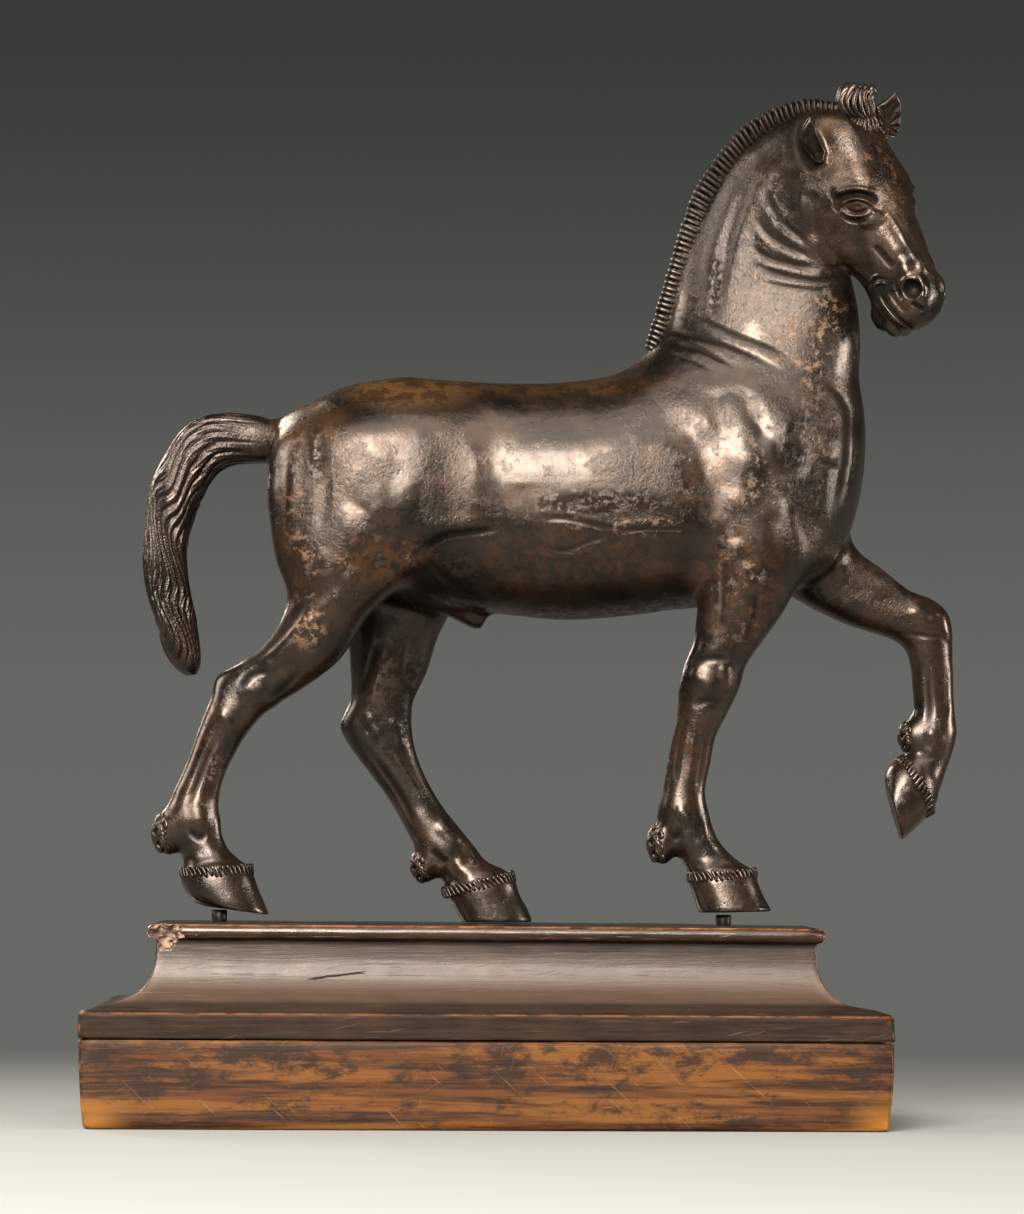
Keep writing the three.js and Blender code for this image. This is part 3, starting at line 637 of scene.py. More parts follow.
# %% Marks on the trunk, both sides
TRUNK_MARKS = [
    # shoulder: three bumps under the neck, and the speckled mass of the upper arm
    (1.0, 7, (56, 200), (61, 197)),
    (1.0, 4.6, (68, 200.5), (72.3, 193.5)),
    (-0.4, 3.4, (64, 203), (65.2, 194.5)),
    (1.2, 6, (77.6, 202), (86, 192)),
    (-0.4, 3.4, (74, 203), (77, 193)),
    (1.0, 8, (67, 185.6), (79, 186.4)),
    (1.0, 7, (72.5, 186), (71.6, 176)),
    (-0.4, 6, (62, 190), (64, 178), (64, 168)),
    (-1.3, 4.6, (88, 193), (87, 184)),
    (1.1, 4.2, (96, 190.5), (95.9, 187.8)),
    (1.2, 4.4, (95.7, 182), (95.2, 170)),
    (-0.6, 1.5, (92.5, 185.4), (96.3, 184.7), (99.5, 184.6)),
    (-0.8, 1.9, (89.3, 211), (95.7, 206.4), (100.3, 200.7), (100.9, 193),
     (100.3, 184), (98.6, 175.8), (97, 170)),
    (0.9, 3, (84.7, 175.8), (84.7, 170), (87.4, 160.2), (85.8, 154.4)),
    (-0.6, 3.2, (80, 172), (80.4, 164), (82, 157)),
    (-0.8, 2.5, (99.7, 159.6), (95, 154.4), (88, 150.9)),
    # behind the elbow and along the barrel
    (-0.3, 7, (58, 188), (57.6, 176), (58.6, 164), (59, 154)),
    (0.6, 9, (34, 186), (10, 184)),
    # the flank's long vein
    (0.25, 1.2, (10, 170.9), (18, 171), (27, 170), (34, 167.6), (44, 167), (60, 168.2)),
    (-0.4, 1.2, (15, 169), (22, 169.2), (29, 167.6), (35, 165.6)),
    (-0.4, 1.2, (13, 161.5), (22, 160.3), (28, 162.6), (36, 165)),
    (0.25, 1.2, (9, 159.6), (16, 158.8), (24, 158.6), (31, 161.4), (38, 166)),
    (-0.45, 1.1, (36, 165.6), (46, 166.4), (58, 166)),
    (0.35, 1.2, (38, 168), (48, 168.6), (58, 168)),
    # croup, hip and thigh
    (0.9, 11, (-37, 190), (-35, 184)),
    (-1.2, 8, (-11, 194), (-10, 178), (-8, 166)),
    (0.9, 3.4, (-55.3, 184), (-55.6, 164)),
    (-0.9, 3, (-46.6, 194), (-46.4, 185), (-45.6, 175), (-47, 165)),
    (0.7, 6, (-31.9, 174.4), (-31.4, 173)),
    (0.5, 6, (-38.4, 168.2), (-37, 166.6)),
    (0.4, 7, (-21.6, 177), (-22.4, 174)),
    (0.5, 4, (-46, 158), (-40, 154)),
    (-0.5, 3, (-36, 160), (-44, 150), (-52, 143)),
    (-0.9, 1.8, (-20, 159), (-12, 164.2), (-4.8, 165.4), (4.5, 166.7)),
    (0.3, 2.6, (-18, 166), (-10, 168.2), (-4, 168.4), (4, 169.2)),
    # the belly's folds before the thigh
    (-0.6, 2, (-16, 157), (-8, 150), (2, 146.4)),
]
NECK_MARKS = [
    # four creases where the neck meets the shoulder
    (-1.0, 1.1, (51, 226.4), (60, 225.2), (70, 221), (80, 217.2), (87, 213)),
    (0.15, 1.4, (51, 224), (60, 222.8), (70, 218.8), (82, 213.8)),
    (-1.1, 1.1, (51.5, 221.8), (60, 220.4), (70, 216.8), (84, 210.6)),
    (0.6, 1.6, (52, 220.4), (60, 218.2), (68, 215)),
    (-1.0, 1.0, (52.6, 218.6), (60, 216.6), (70, 211.6)),
    (0.4, 1.3, (52, 217), (58, 215)),
    (-0.7, 1.0, (50.6, 215.8), (57, 214), (64, 210.4)),
    # the long ridges down the side of the neck
    (2.2, 4.4, (82, 268.5), (77.7, 263.2), (74.8, 256.9), (72, 251.6), (70.4, 246), (68.6, 236)),
    (1.4, 4, (72, 268), (69, 259), (66, 250), (64, 244), (62.3, 237.2), (61, 228)),
    (-1.5, 3, (73, 262), (70.5, 255), (68, 248), (66, 240), (64.8, 232), (64.4, 227)),
    (-0.7, 3.2, (63.6, 258), (61, 248), (59.6, 238), (58, 229)),
    (-1.5, 5, (85, 268), (83.6, 260), (84, 253)),
    (0.7, 2, (62, 231.4), (61.6, 229)),
    # folds of the throat
    (-1.0, 1.4, (78, 262), (82, 254), (90, 246.6)),
    (0.8, 1.4, (76.6, 259), (81, 251.4), (90.4, 244.4)),
    (-1.0, 1.4, (75.4, 255), (80, 248.6), (91, 242.4)),
    (0.9, 1.5, (74.6, 251), (80, 245.6), (92, 240.6)),
    (-1.1, 1.4, (73.6, 247), (80, 242.6), (94, 239)),
    (0.8, 1.5, (73.4, 243.4), (80, 240.2), (92, 237.6), (99, 237.6)),
    (-0.9, 1.3, (73.6, 240.6), (82, 238), (92, 236), (100, 236)),
    (0.5, 1.4, (75, 238), (84, 235.6), (96, 234.4)),
    (-0.6, 1.2, (77, 235.8), (86, 234), (97, 233)),
    # the light band beside the mane
    (0.5, 1.4, (52.8, 227), (54.6, 234), (57.4, 244), (60.6, 254), (66, 265), (74, 274.5), (84, 281)),
]

# %% Marks on the legs, one leg at a time
NEAR_LEG_MARKS = [
    # hind: tendon hollow, hock bones, shank, fetlock, pastern
    (-0.9, 2.6, (-70, 127.6), (-62, 133.6), (-55, 141), (-50, 148)),
    (0.5, 3.2, (-61, 128), (-50, 140)),
    (0.8, 4, (-67, 121.5), (-61, 118)),
    (-0.6, 2, (-70, 121), (-66, 125.6), (-60, 127)),
    (-0.5, 1.8, (-62, 118), (-57, 122), (-52, 127)),
    (0.5, 2.2, (-74, 114), (-71.4, 110.6)),
    (-0.55, 1.5, (-74, 111), (-78.5, 102), (-81.6, 94), (-84, 89)),
    (0.4, 1.4, (-70.6, 106), (-75, 97), (-76.6, 90)),
    (0.8, 4, (-80.4, 89.6), (-79.6, 85.6)),
    (0.5, 1.6, (-75.4, 87), (-75, 81), (-72.6, 77)),
    (-0.6, 1.8, (-84, 83), (-80.4, 80), (-78.6, 82)),
    (0.5, 3.4, (-76.6, 77), (-75.6, 73)),
    (-0.4, 1.2, (-82.8, 71.8), (-75, 73), (-68, 73.4)),
    # fore: forearm muscles, knee, shank, fetlock, pastern
    (0.6, 4, (69.6, 160.6), (68, 156)),
    (0.4, 3.6, (72.4, 155), (71, 150)),
    (-0.5, 2, (66, 156), (66.4, 146), (65, 136)),
    (0.5, 2.4, (62, 150), (61.4, 138)),
    (-0.5, 2, (76, 152), (74.6, 142), (71, 133)),
    (0.9, 3.8, (58.4, 125.4), (62.4, 123)),
    (0.8, 2.4, (66.6, 126.6), (67, 122.4)),
    (-0.6, 2, (56, 129), (62, 130.4), (69, 130)),
    (-0.5, 1.8, (57, 117), (62, 118.4), (66, 117)),
    (-0.5, 1.5, (55.2, 114), (53.6, 104), (52.4, 95)),
    (0.4, 1.2, (58.6, 114), (57.4, 104), (56.4, 95)),
    (-0.4, 1.3, (62, 112), (60, 101), (58.6, 92)),
    (0.9, 2.8, (54.6, 87.2), (56, 85.6)),
    (-0.6, 1.8, (49.6, 84), (52.6, 80), (54, 83)),
    (0.5, 1.6, (60.6, 86), (61.4, 80), (64.6, 76)),
    (0.5, 3.4, (60.2, 77.6), (62, 73.6)),
    (-0.4, 1.2, (57.4, 71.6), (64, 72.4), (71, 72.4)),
]
FAR_LEG_MARKS = [
    # hind
    (0.7, 2.6, (-33, 113), (-31, 110)),
    (-0.7, 2.2, (-36, 118), (-32.6, 126), (-30, 136)),
    (-0.5, 2, (-22.6, 118), (-24, 128), (-22, 138)),
    (0.5, 2, (-26, 112), (-24, 106)),
    (-0.6, 1.7, (-34.6, 106), (-27.4, 97), (-22, 88), (-19, 80)),
    (0.5, 1.5, (-27, 105), (-21.6, 97), (-17, 88)),
    (0.9, 2.8, (-12.2, 82.6), (-9, 79.6)),
    (0.6, 1.6, (-6, 78), (-3.4, 73.4)),
    (-0.6, 1.8, (-15, 76), (-12, 73.6)),
    (0.8, 2.6, (-7.6, 72.4), (-5, 70)),
    # raised fore
    (-0.25, 3, (92, 157), (100, 151), (110, 146.6)),
    (0.5, 4, (96, 158.6), (104, 154), (113, 149)),
    (0.9, 2.8, (120.4, 143.4), (122.4, 141.6)),
    (0.6, 1.8, (127.6, 142), (129.4, 136)),
    (-0.5, 1.5, (117, 137.4), (123, 136.6), (130, 136)),
    (0.5, 1.5, (130, 130), (130, 120), (129.8, 112)),
    (-0.5, 1.7, (123, 128), (124, 118), (123.6, 110)),
    (0.8, 2.8, (124.6, 109), (126, 107.4)),
    (-0.5, 1.6, (120.6, 104), (124, 102.6), (128, 103)),
    (-0.4, 1.2, (121.4, 101), (124.6, 96.4), (127.4, 91.6)),
]

# %% Marks on the head, both sides
EYE_MARKS = [
    (-1.1, 1.5, (97, 257.6), (99.8, 259.7), (104, 260.7), (107.6, 260), (110, 257.6)),
    (1.2, 1.3, (96.6, 259.6), (99.9, 261.6), (104, 262.1), (107.4, 261.5), (109.4, 260)),
    (1.0, 0.75, (98.4, 256.4), (100.9, 258.6), (104, 259.4), (107.2, 258.5), (110, 256)),
    (0.9, 0.7, (98.4, 256.6), (101.4, 254.9), (104.4, 254.5), (107, 255), (110, 256.4)),
    (-0.5, 0.6, (100.6, 257), (102, 255.8), (104, 255.4), (106.2, 255.9), (107.8, 256.7)),
    (-0.45, 0.6, (100.8, 257.4), (102.2, 258.3), (104, 258.6), (106, 258), (107.6, 257)),
    (-0.55, 0.7, (104.2, 257.1)),
    (0.3, 0.5, (104.9, 257.7)),
    (-0.6, 1.2, (99.4, 254.6), (102, 253.2), (105, 252.9), (108, 254)),
    (-0.5, 0.9, (109, 255.8), (110.4, 254.6)),
    (0.8, 2.0, (106, 252.4), (109.4, 253.6)),
    (-0.8, 2.2, (96, 262.6), (98.6, 258.4), (97.6, 255.6)),
]
CHEEK_MARKS = [
    (0.5, 4.4, (91.7, 265.2), (88.8, 260.8), (88, 255.4), (88.8, 249), (92, 243.6), (97, 241.4)),
    (-0.5, 3, (92.6, 259), (93, 250)),
    (-0.9, 1.4, (99.6, 241.2), (103.2, 238), (106.6, 235)),
    (0.4, 3.4, (99, 246), (104, 243)),
    (0.6, 3.8, (109, 252), (113, 248), (117, 242)),
    (-0.6, 2, (108, 247), (112, 243), (115, 239.6)),
]
NOSE_MARKS = [
    (1.2, 1.7, (111.7, 260), (114.3, 255.4), (116.5, 251.6), (118.7, 247.6),
     (121.1, 243.5), (122.8, 239.8), (123.9, 235)),
    (-1.5, 1.6, (113.8, 260.4), (116, 255.6), (118.2, 251.8), (120.2, 248), (122.2, 244.4), (123.8, 241)),
    (0.8, 2.6, (117.3, 241.4), (117.5, 239.4)),
    (0.4, 1.0, (116.4, 235.4), (117.8, 236.9), (119.8, 236.6), (121.2, 234.8)),
    (-0.6, 1.2, (114.8, 236), (115.2, 233.2), (116.4, 230.6)),
    (0.7, 1.6, (123.6, 231.6), (123.2, 227.6)),
    (-0.6, 1.3, (119.6, 229.6), (121.6, 228.4)),
]
MOUTH_MARKS = [
    (-1.2, 0.9, (109.6, 233), (111.2, 230.4), (113.4, 227.5), (115.6, 225.1), (118, 223.4), (121, 222.6)),
    (-0.25, 0.9, (108.6, 231.8), (109.9, 228.9), (112, 225.9), (114.4, 223.6)),
    (-0.3, 1.3, (112, 234), (114.2, 231), (116.4, 228.3), (118.4, 226.6)),
    (0.15, 1.2, (109.2, 230.6), (110.8, 227.8), (113, 225.2), (115.2, 223.4)),
    (0.2, 1.3, (110.8, 233.4), (112.8, 230.4), (115, 227.4), (117.4, 225.2), (120, 224.2)),
    (0.6, 0.7, (107.9, 233.4), (108.8, 235), (110.7, 235.6), (112.6, 234.9)),
    (-0.5, 0.6, (107, 234), (108.4, 236.1), (110.8, 236.8), (113.4, 235.9)),
    (0.4, 0.6, (106.6, 235.2), (108.4, 237.3), (111, 237.9)),
]
head_marks = []
for lift, group in ((0.8, EYE_MARKS), (0.3, CHEEK_MARKS), (0.4, NOSE_MARKS), (0.5, MOUTH_MARKS)):
    for height, width, *path in group:
        head_marks.append((height, width, *on_head(path, lift)))
print(sum(map(len, (TRUNK_MARKS, NECK_MARKS, NEAR_LEG_MARKS, FAR_LEG_MARKS, head_marks))), "marks")

# %% The relief at any point of the bronze
TRUNK_SHARE = 0.55
NECK_SHARE = 0.32
LEG_SHARE = 0.6
HEAD_SHARE = 0.75


def creases(marks):
    """Only the narrow marks that go down."""
    return [mark for mark in marks if mark[0] < 0 and mark[1] < 3]


def strokes(points, normals, chosen=list):
    """Height in millimetres of the chosen marks at points of the horse."""
    y = points[:, 1]
    side = smooth_step(np.abs(normals[:, 1]), 0.1, 0.5)
    trunk = side * smooth_step(points[:, 2], 138, 148)
    both_sides, one_side = seen(points, True), seen(points, False)
    height = trunk * swelling(both_sides, chosen(TRUNK_MARKS), TRUNK_SHARE)
    height += side * swelling(both_sides, chosen(NECK_MARKS), NECK_SHARE)
    height += smooth_step(-y, 1, 4) * swelling(one_side, chosen(NEAR_LEG_MARKS), LEG_SHARE)
    height += smooth_step(y, 1, 4) * swelling(one_side, chosen(FAR_LEG_MARKS), LEG_SHARE)
    local = (points - POLL) @ HEAD_TURN
    facing = smooth_step(np.abs(normals @ HEAD_TURN[:, 1]), 0.12, 0.5)
    head = facing * smooth_step(points[:, 0], 84, 88)
    return height + head * swelling(local[:, [0, 2]], chosen(head_marks), HEAD_SHARE)


def relief(points, normals):
    """The marks, with broad and small unevenness of the wax, in millimetres."""
    return strokes(points, normals) + 0.1 * lumps(points, 7.5, 1) + 0.04 * lumps(points, 2.4, 2)

# %% [markdown]
# From points to a Blender mesh
#
# The relief moves each point along its normal, so the mesh is made first, and its normals are read from
# it. A collapse Decimate then takes triangles away where the surface is nearly flat and leaves them on
# the marks.

# %% Mesh helpers
def leaned(points):
    """Points of the level horse as it stands on its plinth, nose a little up."""
    turn = math.radians(HORSE_LEAN)
    x = points[:, 0] * math.cos(turn) - points[:, 2] * math.sin(turn)
    z = points[:, 0] * math.sin(turn) + points[:, 2] * math.cos(turn)
    return np.stack([x, points[:, 1], z], 1) + HORSE_SHIFT


def level(points):
    """The way back: points on the plinth as they were in the level horse."""
    turn = math.radians(HORSE_LEAN)
    moved = points - HORSE_SHIFT
    x = moved[:, 0] * math.cos(turn) + moved[:, 2] * math.sin(turn)
    z = moved[:, 2] * math.cos(turn) - moved[:, 0] * math.sin(turn)
    return np.stack([x, moved[:, 1], z], 1)


def make_mesh(name, points, faces):
    """A mesh in metres from points in millimetres and faces of one size, an array of point numbers."""
    mesh = bpy.data.meshes.new(name)
    mesh.vertices.add(len(points))
    mesh.vertices.foreach_set("co", (points * MM).astype(np.float32).ravel())
    corners = faces.shape[1]
    mesh.loops.add(faces.size)
    mesh.loops.foreach_set("vertex_index", faces.astype(np.int32).ravel())
    mesh.polygons.add(len(faces))
    mesh.polygons.foreach_set("loop_start", np.arange(0, faces.size, corners, dtype=np.int32))
    mesh.update(calc_edges=True)
    mesh.validate()
    mesh.polygons.foreach_set("use_smooth", np.ones(len(mesh.polygons), bool))
    return mesh


def make_object(name, mesh):
    obj = bpy.data.objects.new(name, mesh)
    bpy.context.scene.collection.objects.link(obj)
    return obj


def read(rows, label):
    values = np.empty(len(rows) * 3, np.float32)
    rows.foreach_get(label, values)
    return values.reshape(-1, 3).astype(float)


def read_points(mesh):
    return read(mesh.vertices, "co") / MM


def read_normals(mesh):
    return read(mesh.vertex_normals, "vector")


def baked(obj):
    """The object with its modifiers turned into plain mesh."""
    bpy.context.view_layer.update()
    result = bpy.data.meshes.new_from_object(obj.evaluated_get(bpy.context.evaluated_depsgraph_get()))
    obj.modifiers.clear()
    old = obj.data
    obj.data = result
    bpy.data.meshes.remove(old)
    result.name = obj.name
    return obj


def triangles(mesh):
    mesh.calc_loop_triangles()
    return len(mesh.loop_triangles)


def carved(name, points, quads, most):
    """A bronze piece: points pushed out by the relief, thinned to a number of triangles, and leaned."""
    mesh = make_mesh(name, points, quads)
    normals = read_normals(mesh)
    mesh.vertices.foreach_set("co", ((points + normals * relief(points, normals)[:, None]) * MM).ravel())
    obj = make_object(name, mesh)
    thin = obj.modifiers.new("thin", "DECIMATE")
    thin.ratio = min(1, most / (2 * len(quads)))
    thin.use_collapse_triangulate = True
    baked(obj)
    obj.data.vertices.foreach_set("co", (leaned(read_points(obj.data)) * MM).ravel())
    obj.data.update()
    print(name, triangles(obj.data), "triangles")
    return obj

# %% The body and the head
BODY_TRIANGLES = 192000
HEAD_TRIANGLES = 185000
body = carved("horse_body", body_points, body_quads, BODY_TRIANGLES)
head = carved("horse_head", head_points, head_quads, HEAD_TRIANGLES)

# %% [markdown]
# The tail
#
# The tail is a smooth root that breaks into deep wavy strands. They could be many separate tubes, but the
# cast tail is one piece with grooves cut into it. So the tail's loft gets very fine rings, and each point
# moves in or out by a wave round the tail whose phase wanders along it.

# %% The tail
TAIL_SIDES = 150
TAIL_STEPS = 40
STRANDS = 15
STRAND_DEPTH = 1.15

tail_rows = TAIL[1:]
tail_loops = rings(tail_rows, TAIL_SIDES, TAIL_STEPS)
tail_middle = tail_loops.mean(1)
run = np.concatenate([[0], np.cumsum(np.linalg.norm(np.diff(tail_middle, axis=0), axis=1))])[:, None]
around = (np.arange(TAIL_SIDES) / TAIL_SIDES)[None, :]
angle = 2 * np.pi * around
wander = 0.05 * np.sin(run / 7.5 + 1.5 * np.sin(angle)) + 0.035 * np.sin(run / 3.3 + 2 * angle)
sweep = 0.5 * smooth_step(run, 30, 52) - 0.4 * smooth_step(run, 56, 80)
drift = wander * smooth_step(run, 16, 40) + sweep * 0.2 * np.cos(angle) + 0.012 * np.sin(run / 4)
phase = STRANDS * (around + drift)
uneven = 0.75 + 0.35 * np.sin(3 * angle + run / 11) * np.sin(2 * angle - run / 17)
ridge = np.abs(np.sin(np.pi * phase)) ** 0.6
fine_ridge = np.abs(np.sin(np.pi * (2.6 * phase + 1.4 * np.sin(run / 7)))) ** 0.7
depth = STRAND_DEPTH * uneven * smooth_step(run, 3, 18) * (1 - smooth_step(run, 80, 86))
push = depth * (ridge - 0.75) + 0.35 * depth * (fine_ridge - 0.6)
push += 0.3 * np.sin(run / 6.3 + 3 * angle) * smooth_step(run, 14, 28)
push += -0.6 + 0.6 * smooth_step(run, 0, 6)
outward = tail_loops - tail_middle[:, None]
outward /= np.linalg.norm(outward, axis=2, keepdims=True)
tail_points, tail_faces = tube_mesh(tail_loops + outward * push[..., None])
tail = make_object("tail", make_mesh("tail", leaned(tail_points), tail_faces))
print("tail", len(tail_faces), "triangles, strands along", round(float(run[-1, 0])), "mm")

# %% [markdown]
# Locks of hair
#
# The forelock and the tufts behind the fetlocks are combed into separate wavy locks. Each lock is a
# tapering tube swept along a curved path, and a set of locks is one piece. They sit on the lumps of the
# field, so no gap shows between them.

# %% A lock, and pieces made of locks
LOCK_SIDES = 9
OVER_WAYS = 6


def sheltered(mesh, reach):
    """The share of ways out from each vertex that meet the same mesh within this many millimetres."""
    points, normals = read_points(mesh), read_normals(mesh)
    ball = BVHTree.FromPolygons(points.tolist(), [tuple(face.vertices) for face in mesh.polygons])
    found = np.zeros(len(points))
    for number, (point, normal) in enumerate(zip(points, normals)):
        across = np.cross(normal, (0.3, 0.5, 0.8))
        across /= np.linalg.norm(across) + 1e-9
        other = np.cross(normal, across)
        start = Vector((point + 0.06 * normal).tolist())
        for i in range(OVER_WAYS):
            turn = 2 * math.pi * i / OVER_WAYS
            way = 0.75 * normal + math.cos(turn) * across + math.sin(turn) * other
            if ball.ray_cast(start, Vector(way.tolist()).normalized(), reach)[0] is not None:
                found[number] += 1 / OVER_WAYS
    return found


def lock_loops(path, thick, flat=1.0, steps=6, blunt=False):
    """Rings of a lock swept along a path, thickest in the middle, its end pointed or blunt."""
    line = between(np.asarray(path, float), np.linspace(0, len(path) - 1, (len(path) - 1) * steps + 1))
    t = np.linspace(0, 1, len(line))
    radius = thick * np.clip(0.55 + 1.6 * t - 2.1 * t**2.2, 0.12, 1.1)
    if blunt:
        radius = thick * (0.6 + 0.4 * t) * np.sqrt(1 - np.clip((t - 0.86) / 0.145, 0, 1) ** 2)
    ahead = np.gradient(line, axis=0)
    ahead /= np.linalg.norm(ahead, axis=1, keepdims=True)
    aside = np.cross(ahead, [0.3, 1, 0.2])
    aside /= np.linalg.norm(aside, axis=1, keepdims=True)
    over = np.cross(ahead, aside)
    angle = 2 * np.pi * np.arange(LOCK_SIDES) / LOCK_SIDES
    cos, sin = np.cos(angle)[None, :, None], np.sin(angle)[None, :, None]
    spread = cos * aside[:, None] + flat * sin * over[:, None]
    return line[:, None] + radius[:, None, None] * spread


def joined(parts):
    """Points and faces of several tubes as one mesh."""
    points, faces, count = [], [], 0
    for loops in parts:
        some_points, some_faces = tube_mesh(loops)
        points.append(some_points)
        faces.append(some_faces + count)
        count += len(some_points)
    return np.concatenate(points), np.concatenate(faces)


def hair_piece(name, parts):
    points, faces = joined(parts)
    piece = make_object(name, make_mesh(name, leaned(points), faces))
    print(name, len(parts), "locks,", len(faces), "triangles")
    return piece

# %% The forelock
# Two edge locks give the flare; the others lie between them, each with its own wave.
LEFT_LOCK = [(106.6, 281.8), (102.8, 281.9), (100, 284.2), (99.2, 287.2), (100, 290), (102.2, 291.3)]
RIGHT_LOCK = [(107.2, 281.8), (108, 283.8), (107.9, 286), (107.6, 288), (108.2, 290), (109, 291.1)]
LEFT_FRINGE = [(103.4, 282.2), (100.8, 281.6), (99, 280), (98.9, 278.2), (99.8, 276.6)]
RIGHT_FRINGE = [(107.4, 282.4), (109, 281.8), (109.6, 280.2), (109.5, 278.8), (109, 277.6)]
FORELOCK_Y = -12.0
chance = np.random.default_rng(4)


def fan(left, right, side, count, bulge, thick, wave, sag=0.0, uneven=0.04):
    """Locks spread between two edge locks on one side of the forelock."""
    found = []
    left, right = np.array(left), np.array(right)
    t = np.linspace(0, 1, len(left))
    for i in range(count):
        share = i / (count - 1)
        line = left * (1 - share) + right * share
        line[:, 0] += wave * np.sin(2.4 * np.pi * t + i * 1.3) * t
        line = line[0] + (line - line[0]) * (1 - uneven * chance.uniform(0, 1))
        out = bulge * np.sin(np.pi * (0.12 + 0.76 * t)) * np.sin(np.pi * (0.12 + 0.76 * share))
        y = FORELOCK_Y + side * (0.9 + out)
        line[:, 1] -= sag * np.sin(np.pi * share) * t
        path = [at_depth(x, z, depth) for (x, z), depth in zip(line, y)]
        found.append(lock_loops(path, thick * chance.uniform(0.85, 1.2), blunt=True))
    return found


forelock_locks = []
for side in (-1, 1):
    forelock_locks += fan(LEFT_LOCK, RIGHT_LOCK, side, count=6, bulge=3.2, thick=0.95, wave=0.7, uneven=0.14)
    forelock_locks += fan(LEFT_FRINGE, RIGHT_FRINGE, side, count=10, bulge=3.4, thick=0.72, wave=0.3, sag=1.4)
    forelock_locks += fan(LEFT_LOCK, RIGHT_LOCK, side, count=5, bulge=1.0, thick=1.4, wave=0.4, uneven=0.08)
core = [at_depth(*place, FORELOCK_Y) for place in ((105.5, 279), (105.2, 282), (104.6, 285), (104.4, 288))]
forelock_locks.append(lock_loops(core, 3.1, blunt=True))
forelock = hair_piece("forelock", forelock_locks)

# %% The tufts behind the fetlocks
def tuft(centre, size, count, tilt):
    """Wavy locks combed down over the back of an ellipsoid."""
    found = []
    for row in range(3):
        for i in range(count):
            swing = -1.45 + 2.9 * (i + 0.5 * (row % 2)) / count
            path = []
            for t in np.linspace(0, 1, 7):
                height = (1.35 - 0.62 * row) - 1.15 * t
                turn = swing * (1 - 0.2 * t) + 0.3 * math.sin(5.5 * t + 2.1 * i)
                out = math.cos(height) * (0.96 + 0.1 * math.sin(math.pi * t))
                across = np.array([-math.cos(turn) * out, math.sin(turn) * out, math.sin(height)])
                path.append(centre + np.array(size) * across)
            found.append(lock_loops(path, 0.8 * chance.uniform(0.8, 1.2), blunt=True))
    middle = np.array(centre)
    turned_by = turned("Y", tilt)
    return [(loops - middle) @ turned_by.T + middle for loops in found]


fetlock_locks = []
for (centre, size), tilt in zip(FETLOCK_LUMPS, (0, -15, 0, -5)):
    fetlock_locks += tuft(np.array(centre), size, 9, tilt)
fetlocks = hair_piece("fetlock_tufts", fetlock_locks)

# %% [markdown]
# Rows that follow a path
#
# The clipped mane is a row of ribs along the crest, and each hoof is crowned by a row of short curls like
# a rope. Geometry Nodes are made for this: a curve is cut into equal steps, and a small shape is put on
# each. The curve carries two attributes from the script, the way out of the metal and the size, which the
# tree reads.

# %% Helpers for every node tree
def plug(tree, node, values):
    """Fills a node's inputs; each value is a number, a colour, a text or another node's socket."""
    for key, value in values.items():
        if isinstance(value, bpy.types.NodeSocket):
            tree.links.new(value, node.inputs[key])
        else:
            node.inputs[key].default_value = value


def put(tree, kind, values, **settings):
    """A new node with its settings, and its inputs by their number or name."""
    made = tree.nodes.new(kind)
    for key, value in settings.items():
        setattr(made, key, value)
    plug(tree, made, values)
    return made


def maths(tree, kind, a, b=0.0):
    return put(tree, "ShaderNodeMath", {0: a, 1: b}, operation=kind).outputs[0]

# %% The node tree for rows
CUBE_SIZE = 2.3
CUBE_CREASE = 0.35
ROW_INPUTS = [
    ("Path", "Geometry", None),
    ("Pitch", "Float", 0.0016),
    ("Half size", "Vector", (0.0008, 0.002, 0.0028)),
    ("Slant", "Float", 0.0),
    ("Unevenness", "Float", 0.1),
    ("Seed", "Int", 1),
    ("Finish", "Material", None),
]


